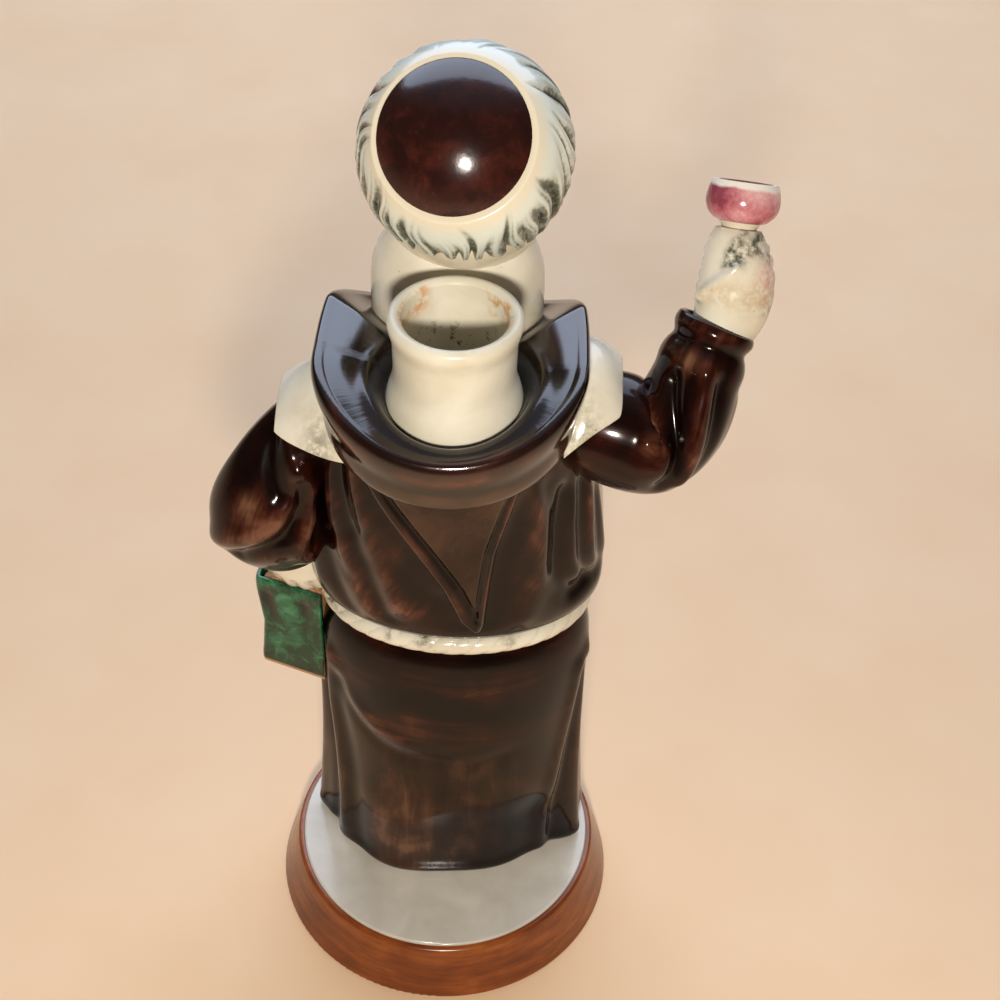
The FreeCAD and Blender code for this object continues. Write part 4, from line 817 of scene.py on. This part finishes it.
# Cape, neck and head
def cape(name, node, side, outer, drop, arch):
    """Cape corner: ovals flattened and draped over the shoulder, carried outward. Rows give
    shares of the way out, half depth, drop, drape and thickness."""
    rows = (
        (0.00, 1.10, 0.00, 1.20, 1.00),
        (0.20, 1.08, 0.06, 1.16, 1.00),
        (0.45, 1.00, 0.22, 1.00, 1.00),
        (0.70, 0.86, 0.50, 0.70, 0.95),
        (0.90, 0.72, 0.80, 0.42, 0.85),
        (1.00, 0.60, 0.96, 0.24, 0.50),
    )
    begin, half_depth, set_back, sunk, half_thick, drape = 25.0, 22.0, 14.0, 0.6, 3.0, 15.0
    out, deep, down, hang, thick = np.array(rows).T[:, :, None]
    turn = turns(16)[None, :]
    x = AXIS_X + side * (begin + (outer - begin) * out) + 0 * turn
    y = COLLAR_Y - set_back + half_depth * deep * np.cos(turn)
    z = TRUNK_TOP - sunk - drop * down + arch * 4 * out * (1 - out)
    z = z + half_thick * thick * np.sin(turn) - drape * hang * np.cos(turn) ** 2
    around = np.linspace(0, 360, 96, endpoint=False)
    points = skin(np.stack([x, y, z], -1), np.linspace(0, 1, 60), side * around)
    smear = 0.8 * bell(points[..., 1] - 17, 8) * bell(np.abs(points[..., 0] - COLLAR_X) - 36, 4.5)
    piece(name, points, IVORY, node, {"smear": smear})


def figure_neck():
    """Neck: ovals from inside the robe up, fullest above the hood, drawn in under the hair.
    Rows give shares of the height and of the half sizes."""
    rows = np.array([(0.00, 1.00), (0.30, 1.00), (0.60, 1.02), (0.80, 0.98), (0.94, 0.80), (1.00, 0.62)])
    half_width, half_depth, sunk, height = 24.2, 18.4, 16.0, 50.0
    turn = turns(24)[None, :]
    x = NECK_X + half_width * rows[:, 1:] * np.cos(turn)
    y = NECK_Y + half_depth * rows[:, 1:] * np.sin(turn)
    poles = np.stack([x, y, TRUNK_TOP - sunk + height * rows[:, :1] + 0 * turn], -1)
    points = skin(poles, np.linspace(0, 1, 60), np.linspace(0, 360, 120, endpoint=False))
    stain = 0.5 * bell(points[..., 2] - TRUNK_TOP - 6, 4)
    piece("figure_neck_column", points, IVORY, "figure_neck", {"stain": stain})


def head():
    """Head: ovals from the chin up, with relief for brow, eyes, nose, cheeks, lips and chin
    laid on the front as bells and ridges. The face keeps the usual thirds: brow, foot of
    the nose and chin evenly spaced, the eyes half way up and one eye's width apart. Rows
    give shares of height, half width, depth behind and depth in front."""
    rows = (
        (0.00, 0.24, 0.20, 0.60),
        (0.03, 0.50, 0.45, 0.86),
        (0.14, 0.78, 0.74, 0.98),
        (0.30, 0.95, 0.95, 1.00),
        (0.46, 1.03, 1.02, 1.00),
        (0.62, 1.04, 1.03, 1.02),
        (0.78, 0.97, 0.96, 0.98),
        (0.91, 0.76, 0.74, 0.76),
        (0.985, 0.46, 0.44, 0.46),
        (1.00, 0.14, 0.14, 0.14),
    )
    half_width, half_depth, chin_drop, tall = 24.0, 25.0, 35.5, 61.9
    height, wide, behind, front = np.array(rows).T[:, :, None]
    turn = turns(24)[None, :]
    x = HEAD[0] + half_width * wide * np.cos(turn)
    y = HEAD[1] + half_depth * np.where(np.sin(turn) > 0, behind, front) * np.sin(turn)
    poles = np.stack([x, y, HEAD[2] - chin_drop + tall * height + 0 * turn], -1)
    # places crowd toward the front, where the face is
    even = np.linspace(0, 360, 360, endpoint=False)
    points = skin(poles, np.linspace(0, 1, 220), (even + 36 * np.sin(np.radians(even - 90))) % 360)
    out = normals(points)
    x, z = points[..., 0] - HEAD[0], points[..., 2]
    pair = np.abs(x)
    facing = ease(0.1, 0.5, -out[..., 1])
    brow, eye, nose_foot, mouth, chin, eye_x = 275.0, 268.6, 257.0, 250.4, 241.5, 9.4
    cheek, cheek_fold, lip_groove, chin_dip = 258.5, 253.5, 254.0, 245.8
    gap = np.hypot((pair - eye_x) / 4.6, (z - eye + 0.06 * (pair - eye_x) ** 2) / 2.1)
    bridge = np.clip((brow - 2 - z) / (brow - 2 - nose_foot), 0, 1)
    nose = (0.8 + 4.8 * bridge**1.4) * bell(x, 1.9 + 1.7 * bridge**2)
    nose = nose * ease(nose_foot - 2.6, nose_foot + 0.6, z) * ease(brow + 3, brow - 3, z)
    wings = 2.2 * bell(pair - 3.7, 1.7) * bell(z - nose_foot - 1.1, 1.9)
    lip = 1 - (x / 8.4) ** 2
    curve = z - mouth - 0.012 * x**2
    upper, lower = 1.3 * bell(curve - 1.5, 1.1), 1.6 * bell(curve + 1.7, 1.4)
    relief = (
        1.1 * bell(pair - 8.5, 7.5) * bell(z - brow, 3.0)
        - 2.4 * bell(pair - eye_x, 6.0) * bell(z - eye - 0.4, 4.4)
        + 2.0 * np.sqrt(np.clip(1 - (gap / 1.25) ** 2, 0, 1))
        + 0.7 * bell(gap - 1.1, 0.16) * ease(eye - 1.5, eye + 1, z)
        + 0.4 * bell(gap - 1.15, 0.2) * ease(eye + 1, eye - 1.5, z)
        + nose
        + wings
        + 1.7 * bell(pair - 13, 7.5) * bell(z - cheek, 6.5)
        - 0.7 * bell(pair - 7.8 - 0.25 * (nose_foot - z), 1.6) * bell(z - cheek_fold, 4.5)
        - 0.5 * bell(x, 1.3) * bell(z - lip_groove, 2.0)
        + np.clip(lip, 0, 1) ** 0.6 * (upper + lower)
        - 1.0 * bell(curve, 0.5) * ease(9.4, 7.0, pair)
        - 0.8 * bell(pair, 7.0) * bell(z - chin_dip, 1.5)
        + 2.0 * bell(pair, 6.0) * bell(z - chin, 3.6)
    )
    points = points + out * (relief * facing)[..., None]
    inside = ease(1.02, 0.94, gap) * facing
    ball = np.hypot(pair - eye_x, z - eye - 0.1)
    arch = z - brow - 2.2 + 0.02 * (pair - 7.5) ** 2
    lash = bell(gap - 1.03, 0.09) * ease(eye - 0.8, eye + 0.6, z) * 0.9
    parting = 0.4 * bell(curve, 0.35) * ease(8.4, 6.6, pair)
    marks = {
        "flesh": ease(-0.25, 0.35, -out[..., 1]),
        "blush": 0.5 * bell(pair - 13.5, 6.0) * bell(z - nose_foot, 5.0) * facing,
        "lips": ease(0, 0.35, lip) * ease(2.7, 1.7, np.abs(curve + 0.1)) * 0.7 * facing,
        "brows": bell(arch, 1.0) * ease(2.6, 4.4, pair) * ease(15.0, 12.0, pair) * 0.9 * facing,
        "whites": inside,
        "iris": inside * ease(2.3, 2.0, ball),
        "pupil": inside * ease(1.15, 0.9, ball),
        "lids": np.clip(lash + parting, 0, 1) * facing,
    }
    piece("head_face", points, FACE, "head", marks)


def hair_wreath():
    """Hair: a thick band about the axis of the cap, from the cap to the nape. Locks are
    waves round the band that sweep down on both sides as they run out; they grow from a
    smooth edge at the cap to a softly scalloped edge, and the band closes on the head.
    Rows give shares of the way out and of the radius."""
    rows = ((0.00, 0.92), (0.06, 0.985), (0.30, 1.0), (0.60, 1.0), (0.86, 1.0), (0.96, 0.985), (1.00, 0.95))
    outer_radius, inner_radius, cap_edge, inner_edge, locks = 29.2, 20.2, 45, 94, 26
    share = np.linspace(0, 1, 110)[:, None]
    a = turns(720)[None, :]
    angle = np.degrees(a)
    u = a - math.radians(34) * np.cos(a) * share**1.2 + 0.05 * np.sin(9 * share + 5 * a)
    phase = locks * u + 1.3 * np.sin(3 * u + 1.0) + 0.9 * np.sin(7 * u + 2.0)
    lock = 0.5 + 0.5 * np.cos(phase)
    finer = 0.5 + 0.5 * np.cos(3 * phase + 2.0 * np.sin(5 * u))
    begin = 0.20 + 0.08 * np.sin(11 * u + 0.5) + 0.06 * np.sin(23 * u)
    begin = begin - 0.12 * ease(0.3, 0.9, np.cos(a))
    grow = ease(0.0, 0.4, share - begin)
    groove = grow * (1 - lock) ** 2.4
    radius = outer_radius * np.interp(share, *np.array(rows).T)
    radius = radius - 1.3 * groove * ease(1.0, 0.8, share) - 0.2 * grow * (1 - finer)
    fall = 52 + 10 * bell(angle - 88, 50)
    tilt = np.radians(cap_edge + fall * share - 1.2 * share**4 * (1 - lock))
    side = unit(np.cross([0, 1, 0], CAP_AXIS))
    ring = np.cos(a)[..., None] * side + np.sin(a)[..., None] * np.cross(CAP_AXIS, side)
    outer = HEAD + (radius * np.sin(tilt))[..., None] * ring + (radius * np.cos(tilt))[..., None] * CAP_AXIS
    inner_tilt = np.radians(np.linspace(inner_edge, cap_edge, 12))[:, None, None]
    inner = HEAD + inner_radius * (np.sin(inner_tilt) * ring + np.cos(inner_tilt) * CAP_AXIS)
    nape = 0.08 + bell(angle - 82, 52) + 0.8 * bell(angle - 345, 30) + 0.8 * bell(angle, 30)
    nape = nape + 0.9 * bell(angle - 138, 14) + 0.3 * bell(angle - 200, 26)
    wash = 2.0 * groove + 0.5 * ease(0.5, 0.9, share) * grow + 0.4 * grow * (1 - finer) ** 2
    marks = {
        "wash": padded(np.clip(wash * nape, 0, 1), len(inner)),
        "warm": padded(ease(0.26, 0.08, share), len(inner)),
    }
    points = np.concatenate([outer, inner])
    piece("hair_wreath_locks", points, HAIR, "hair_wreath", marks, True)


# Arms. Rows are those of the solids: shares of the reach to the side, back and down, then
# on the left of the radius, wide and deep, and on the right of the lift and the radius.
LEFT_ARM = np.array(
    [
        (0.48, 0.34, 0.245, 0.68, 0.60),
        (0.63, 0.42, 0.27, 0.88, 0.72),
        (0.76, 0.58, 0.38, 0.94, 0.74),
        (0.88, 0.83, 0.54, 1.00, 0.84),
        (0.95, 1.00, 0.73, 1.24, 1.04),
        (0.93, 0.85, 0.86, 1.16, 0.92),
        (0.88, 0.55, 0.955, 1.00, 0.74),
        (0.87, 0.40, 1.00, 0.88, 0.67),
    ]
)
RIGHT_ARM = np.array(
    [
        (0.38, 0.66, 0.70, 0.00, 0.76),
        (0.55, 0.84, 0.71, 0.00, 0.92),
        (0.70, 1.00, 0.86, 0.00, 1.00),
        (0.82, 1.00, 1.00, 0.00, 0.98),
        (0.90, 0.66, 0.71, 0.00, 0.86),
        (0.945, 0.16, 0.215, 0.00, 0.72),
        (0.975, -0.48, 0.00, 0.38, 0.63),
        (1.005, -0.92, 0.00, 1.00, 0.61),
    ]
)
SHOULDERS = np.array([AXIS_X, AXIS_Y, TRUNK_TOP])
LEFT_REACH, RIGHT_REACH, RIGHT_LIFT = (58.3, 12.0, -67.9), (-68.4, 6.0, -21.8), 7.4
LEFT_LINE = SHOULDERS + LEFT_ARM[:, :3] * LEFT_REACH
RIGHT_LINE = SHOULDERS + RIGHT_ARM[:, :3] * RIGHT_REACH + RIGHT_LIFT * RIGHT_ARM[:, 3:4] * UP
LEFT_RADIUS, RIGHT_RADIUS, HAND_SUNK = 14.5, 17.4, 7.0
BOOK_TURN = math.radians(20)
LIMB_AROUND = np.linspace(0, 360, 240, endpoint=False)
# Folds of the sleeves: height and half width in mm, then places as degrees round the arm,
# from its inner side by the back, and as percent of its length
LEFT_FOLDS = (
    (2.0, 2.0, ((86, 22), (52, 33), (38, 49), (48, 63), (54, 77), (56, 96))),
    (1.8, 2.2, ((82, 28), (70, 41), (80, 51), (98, 57), (132, 66), (158, 72))),
    (-2.0, 1.8, ((72, 30), (58, 40), (58, 50), (70, 60), (96, 68), (124, 75))),
    (-1.6, 1.6, ((150, 19), (134, 22), (118, 28), (100, 34), (86, 38))),
    (1.2, 1.4, ((130, 17), (112, 20), (90, 25))),
    (-1.0, 1.4, ((30, 34), (20, 50), (30, 66), (34, 84))),
    (0.3, 2.2, ((172, 26), (184, 48), (190, 70))),
    (-1.2, 2.0, ((206, 36), (214, 60), (222, 84))),
    (1.2, 2.2, ((240, 34), (258, 58), (268, 82))),
    (-1.2, 2.0, ((300, 36), (308, 60), (318, 82))),
)
RIGHT_FOLDS = (
    (1.6, 2.0, ((22, 66), (32, 61), (42, 48), (50, 37), (56, 28))),
    (-2.2, 2.0, ((46, 80), (58, 72), (76, 60), (98, 47), (112, 38))),
    (1.8, 2.2, ((84, 86), (92, 80), (98, 68), (104, 58), (116, 46))),
    (-1.4, 1.8, ((108, 84), (118, 72), (128, 58), (140, 46))),
    (1.0, 2.2, ((70, 50), (78, 40), (84, 28))),
    (1.2, 2.2, ((160, 40), (172, 58), (180, 76))),
    (-1.4, 2.0, ((210, 42), (222, 54), (234, 68))),
    (1.4, 2.0, ((246, 44), (260, 56), (276, 66))),
    (-1.2, 1.8, ((288, 44), (298, 58), (308, 72))),
    (-1.2, 1.8, ((6, 70), (16, 54), (26, 40))),
)


def limb_poles(centres, widths, depths):
    """Rings of sixteen poles square to a line of centres."""
    ahead = unit(np.gradient(centres, axis=0))
    across = unit(np.cross([0, 1, 0], ahead))
    deep = np.cross(ahead, across)
    turn = turns(16)[None, :, None]
    wide, thick = widths[:, None, None], depths[:, None, None]
    return centres[:, None] + wide * np.cos(turn) * across[:, None] + thick * np.sin(turn) * deep[:, None]


def sleeve(name, node, line, sizes, folds, tiers, longer, patch):
    """Sleeve: rings carried along the arm and on past the cuff by longer, with folds laid on
    as ridges and grooves, rolls at the cuff, each a height, a place and a width, and a mouth
    that turns in round the wrist. Patch is a paler, greyer patch of the glaze, on the right
    sleeve a painted blue-grey reflection: place and width, each round the arm and along it."""
    per_degree, widen = 0.24, 1.4
    mouth = np.array([(0.95, 0.3), (0.88, 0.1), (0.84, -0.7), (0.82, -6.0)])[:, :, None, None]
    along = np.linspace(0, 1, 190)
    base = skin(limb_poles(line, *sizes), along, LIMB_AROUND)
    length = 100.0 * along[:, None]
    ahead = unit(line[-1] - line[-2])
    base = base + longer * ease(60, 100, length)[..., None] * ahead
    middles = base.mean(1)
    radius = np.linalg.norm(base - middles[:, None], axis=-1).mean()
    reach = np.linalg.norm(np.diff(middles, axis=0), axis=-1).sum() / 100
    lines = [(h, widen * w, [(a * per_degree, u * reach) for a, u in run]) for h, w, run in folds]
    relief = np.zeros(base.shape[:2])
    for shift in (-360, 0, 360):
        relief = relief + strokes((LIMB_AROUND[None, :] + shift) * per_degree, length * reach, lines)
    relief = soften(relief * ease(98, 88, length), 10)
    rolled = sum(height * bell(length - place, width) for height, place, width in tiers)
    points = base + normals(base) * (relief + rolled)[..., None]
    end = points[-1]
    turned_in = end.mean(0) + (end - end.mean(0)) * mouth[:, 0] + ahead * mouth[:, 1]
    grid = np.concatenate([points, turned_in])
    # Paler, greyer patch; on the right sleeve it is a painted blue-grey reflection
    dry = bell(LIMB_AROUND[None, :] - patch[0], patch[2]) * bell(length - patch[1], patch[3])
    ridge = np.clip((relief + rolled) / 2.2, -1.4, 0.7) + 0.9 * dry
    marks = {"ridge": padded(ridge, len(mouth), -1.2), "grey": padded(np.clip(0.7 * dry, 0, 1), len(mouth))}
    far = padded(length * reach, len(mouth), 100 * reach)
    strip = np.abs(LIMB_AROUND - 180)[None, :] * math.radians(radius)
    piece(name, grid, ROBE, node, marks, False, (strip, far))


def left_hand():
    """Left hand: a closed mitt of ovals from the cuff down over the head of the book, with
    grooves between the fingers; gives back where the book starts. Rows give shares of
    length, half width and half depth, and the set-back in mm."""
    rows = np.array(
        [
            (0.00, 0.72, 0.84, 0.0),
            (0.25, 0.74, 0.88, 0.0),
            (0.45, 0.98, 1.05, 1.0),
            (0.70, 1.08, 1.20, 3.0),
            (0.98, 1.16, 1.20, 4.2),
            (1.14, 1.10, 1.10, 4.2),
            (1.16, 0.70, 0.60, 4.2),
        ]
    )
    length, half_width, half_depth = 26.0, 10.4, 6.6
    ahead = unit(LEFT_LINE[-1] - LEFT_LINE[-2])
    seat = LEFT_LINE[-1] - ahead * HAND_SUNK
    across = np.array([math.cos(BOOK_TURN), -math.sin(BOOK_TURN), 0.0])
    across = unit(across - ahead * (across @ ahead))
    deep = np.cross(ahead, across)
    swing = turns(16)[None, :, None]
    far, wide, thick, back = rows.T[:, :, None, None]
    poles = seat + length * far * ahead + half_width * wide * np.cos(swing) * across
    poles = poles + half_depth * thick * np.sin(swing) * deep + back * [0.0, 1.0, 0.0]
    along = np.linspace(0, 1, 90)
    base = skin(poles, along, LIMB_AROUND)
    spot = (base - seat) @ across
    finger = np.abs(np.cos(2 * np.pi * (spot / half_width + 1))) ** 0.7
    relief = -0.9 * (1 - finger) * ease(0.5, 0.62, along)[:, None]
    marks = {"smear": np.clip(-relief * 0.5, 0, 1), "blush": 0.12 * ease(0.4, 0.7, along)[:, None]}
    points = base + normals(base) * relief[..., None]
    piece("left_hand_grip", points, IVORY, "left_hand", marks)
    return seat + ahead * length


def book(hand_end):
    """Book: one board, spine and other board as a flat strip bent in a U and carried from
    edge to edge, waved and dented like dabbed clay; the page block fills the U."""
    face = np.array([math.sin(BOOK_TURN), math.cos(BOOK_TURN), 0.0])
    side = np.array([math.cos(BOOK_TURN), -math.sin(BOOK_TURN), 0.0])
    place = hand_end + np.array([3.1, 4.5, -4.5])
    half_wide, half_thick, board, tall, spine, steps = 11.8, 5.5, 1.8, 38.5, 1.7, 70
    bend, straight = half_thick - board / 2, half_wide - 2.6
    flat = np.linspace(-half_wide, straight, steps)
    arc = np.radians(np.linspace(90, -90, 31)[1:-1])
    along = np.concatenate([flat, straight + spine * np.cos(arc), flat[::-1]])
    apart = np.concatenate([np.full(steps, bend), bend * np.sin(arc), np.full(steps, -bend)])
    path = np.stack([along, apart], -1)
    step = unit(np.gradient(path, axis=0))
    outward = np.stack([-step[:, 1], step[:, 0]], -1)
    loop = turns(240)
    thick = board / 2 * power(np.cos(loop), 0.5)
    down = (tall / 2 - tall / 2 * power(np.sin(loop), 0.12))[None, :]
    along, behind = along[:, None], (apart[:, None] > 0) * 1.0
    wave = (0.9 * np.sin(down / tall * 2 * np.pi * 1.1 + 0.9) - 0.9) * ease(-half_wide, half_wide, along)
    dent = 1.3 * bell(down - 10.0, 4.4) * (bell(along - 6.6, 2.2) + bell(along + 6.4, 2.0)) * behind
    lobe = 0.5 * bell(down - 9, 4.0) * bell(along, 2.6) * behind
    lower = 0.6 * bell(down - 25, 3.4) * behind
    strip = path[:, None, :] + outward[:, None, :] * thick[None, :, None]
    u = (strip[..., 0] + wave)[..., None]
    w = (strip[..., 1] - dent + lobe - lower)[..., None]
    points = place + u * side + w * face - down[..., None] * UP
    pool = np.clip(0.9 * dent + 0.6 * lower - 0.5 * lobe + 0.3 * bell(down - 36, 4), -1, 1.2)
    marks = {"pool": pool, "bare": ease(tall - 2.0, tall - 1.2, down)}
    piece("book_boards", points, GREEN, "book_cover", marks)
    swing = turns(96)[None, :, None]
    u = (half_wide - 2.0) * power(np.cos(swing), 0.2) - 1.2
    w = (half_thick - board) * power(np.sin(swing), 0.2)
    level = np.linspace(1.2 - tall, -1.2, 24)[:, None, None]
    pages = place + u * side + w * face + level * UP
    piece("book_page_block", pages, PAGES, "book_pages")


def right_hand():
    """Right hand: a fist of ovals from the cuff to past the foot of the goblet, four fingers
    rolled round the front, the thumb laid across them, knuckles and tendons behind; gives
    back where the stem starts. Rows give shares of length and of radius, across and deep."""
    rows = np.array(
        [
            (0.00, 0.76, 0.76),
            (0.14, 0.76, 0.76),
            (0.32, 0.92, 0.84),
            (0.52, 1.08, 0.96),
            (0.72, 1.06, 1.00),
            (0.88, 0.94, 0.96),
            (1.00, 0.84, 0.84),
            (1.10, 0.70, 0.70),
            (1.13, 0.62, 0.62),
        ]
    )
    radius, length, bow = 10.2, 33.0, 12.0
    ahead = unit(RIGHT_LINE[-1] - RIGHT_LINE[-2])
    seat = RIGHT_LINE[-1] - ahead * HAND_SUNK
    bend = seat + ahead * length / 2
    top = bend + GOBLET_AXIS * length / 2
    near = np.minimum(rows[:, :1], 1)
    across = unit(np.cross([0, 1, 0], ahead))
    first = seat + (bend - seat) * near
    second = bend + (top - bend) * near
    line = first + (second - first) * near - across * (bow * near * (1 - near))
    line = line + GOBLET_AXIS * length * (rows[:, :1] - near)
    poles = limb_poles(line, radius * rows[:, 1], radius * rows[:, 2])
    run = np.linspace(0, 1, 170)[:, None]
    base = skin(poles, run[:, 0], LIMB_AROUND)
    out = normals(base)
    front = ease(-0.1, 0.5, -out[..., 1])
    sway = 0.12 * np.sin(np.radians(LIMB_AROUND))[None, :]
    finger = np.abs(np.cos(np.pi * (run - 0.30) / 0.125 + sway)) ** 0.6
    held = ease(0.26, 0.34, run) * ease(0.90, 0.82, run)
    knuckle = bell(out[..., 1] + 0.1, 0.35) * (out[..., 0] < 0)
    relief = held * (front * (1.5 * finger - 0.9) + 0.4 * knuckle * (finger - 0.6))
    thumb = ((1.8, 2.2, ((3.6, 13), (9.4, 18), (15.1, 24))),)
    relief = relief + strokes(0.18 * LIMB_AROUND[None, :], 37 * run, thumb) * held
    back = ease(0.0, 0.6, out[..., 1])
    paint = (
        (1.2, 2.0, ((17.1, 37.0), (13.4, 30.0), (12.2, 25.5))),
        (1.6, 2.2, ((14.9, 27.0), (17.5, 29.0), (21.9, 32.5), (25.9, 36.0))),
        (1.2, 2.0, ((23.3, 28.5), (26.5, 26.5))),
        (0.6, 0.9, ((24.0, 13.0), (28.0, 15.0))),
    )
    grey = strokes(0.175 * LIMB_AROUND[None, :], 37 * run, paint)
    marks = {
        "smear": np.clip(grey + 0.5 * (1 - finger) * held * front, 0, 1),
        "blush": 0.8 * bell(run - 0.56, 0.16) * ease(0.1, 0.8, -out[..., 0]),
        "stain": 0.5 * bell(run - 0.42, 0.1) * back,
    }
    piece("right_hand_fist", base + out * relief[..., None], IVORY, "right_hand", marks)
    return top


skirt()
trunk()
rope_belt()
hood_collar()
hood_tail()
cape("cape_left_corner", "cape_left", side=1, outer=50.0, drop=13.0, arch=0.0)
cape("cape_right_corner", "cape_right", side=-1, outer=45.0, drop=1.0, arch=6.5)
figure_neck()
head()
hair_wreath()
left_cuff = ((0.5, 98.5, 2.4), (-0.5, 94.5, 1.8))
left = ("left_sleeve_folds", "left_sleeve", LEFT_LINE, LEFT_RADIUS * LEFT_ARM[:, 3:].T, LEFT_FOLDS)
sleeve(*left, left_cuff, longer=0, patch=(116, 46, 13, 7))
right_cuff = ((1.0, 98, 3.0), (-0.6, 93.5, 2.0), (0.8, 87, 4.5))
right = ("right_sleeve_folds", "right_sleeve", RIGHT_LINE, RIGHT_RADIUS * RIGHT_ARM[:, [4, 4]].T, RIGHT_FOLDS)
sleeve(*right, right_cuff, longer=3.5, patch=(60, 88, 16, 5))
book(left_hand())
hand_top = right_hand()

# Solids kept as they are
KEPT = {
    "plinth": plinth_glaze(),
    "plinth_plate": plate_glaze(),
    "spout": spout_glaze(),
    "skull_cap": cap_glaze(),
    "goblet_stem": IVORY,
    "goblet_bowl": goblet_glaze(hand_top + GOBLET_AXIS * STEM_LENGTH, BOWL_HEIGHT),
}
for node, material in KEPT.items():
    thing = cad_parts[node]
    thing.data.materials.clear()
    thing.data.materials.append(material)


# Floor, lamps, world and camera
def aim(thing, place, target, roll=0.0):
    """Sets an object at a place with its -Z toward the target and turned by roll."""
    place, target = np.asarray(place, float), np.asarray(target, float)
    back = unit(place - target)
    right = unit(np.cross(UP, back))
    up = np.cross(back, right)
    right, up = right * math.cos(roll) + up * math.sin(roll), up * math.cos(roll) - right * math.sin(roll)
    thing.matrix_world = Matrix([[right[i], up[i], back[i], place[i]] for i in range(3)] + [[0, 0, 0, 1]])


def lamp(name, place, target, wide, tall, watts, code):
    """Soft oval of light, so wide and tall, that faces a target."""
    light = bpy.data.lights.new(name, "AREA")
    light.shape = "ELLIPSE"
    light.size, light.size_y = wide, tall
    light.energy = watts
    light.color = colour(code)[:3]
    aim(show(name, light), place, target)


ground = bpy.data.meshes.new("floor")
ground.from_pydata([(-3, -3, 0), (3, -3, 0), (3, 3, 0), (-3, 3, 0)], [], [(0, 1, 2, 3)])
ground.materials.append(card_floor())
floor = show("floor", ground)

yaw, pitch = math.radians(0.93), math.radians(43.26)
eye = np.array([-0.02103, 0.3648, 0.5193])
gaze = np.array([math.sin(yaw) * math.cos(pitch), -math.cos(yaw) * math.cos(pitch), -math.sin(pitch)])
camera = show("camera", bpy.data.cameras.new("camera"))
camera.data.sensor_width = 36.0
camera.data.lens = 62.46
aim(camera, eye, eye + gaze, math.radians(2.02))
bpy.context.scene.camera = camera

lamp("key", (-0.02, 0.434, 0.447), (-0.01, 0.02, 0.16), wide=0.05, tall=0.05, watts=2.4, code="#fff5e9")
lamp("window", (0.0, -0.85, 0.95), (0, 0, 0.2), wide=2.1, tall=1.1, watts=18.0, code="#d9e6ff")

world = bpy.data.worlds.new("studio")
world.use_nodes = True
bpy.context.scene.world = world
sky = world.node_tree
toward = add(sky, "TexCoord", out="Generated")
lean = add(sky, "VectorMath", {0: toward, 1: (0.0, -0.55, 0.83)}, out="Value", operation="DOT_PRODUCT")
share = add(sky, "MapRange", {"Value": lean, "From Min": 0.55, "From Max": 0.95})
tint = add(sky, "ValToRGB", {"Fac": share}, stops=[(0.0, "#54483d"), (1.0, "#898f99")])
seen = add(sky, "LightPath", out="Is Camera Ray")
shown = add(sky, "MixRGB", {"Fac": seen, "Color1": tint, "Color2": colour("#ead3b8")})
sky.links.new(shown, sky.nodes["Background"].inputs["Color"])
sky.nodes["Background"].inputs["Strength"].default_value = 1.0
bpy.context.scene.view_settings.view_transform = "Standard"
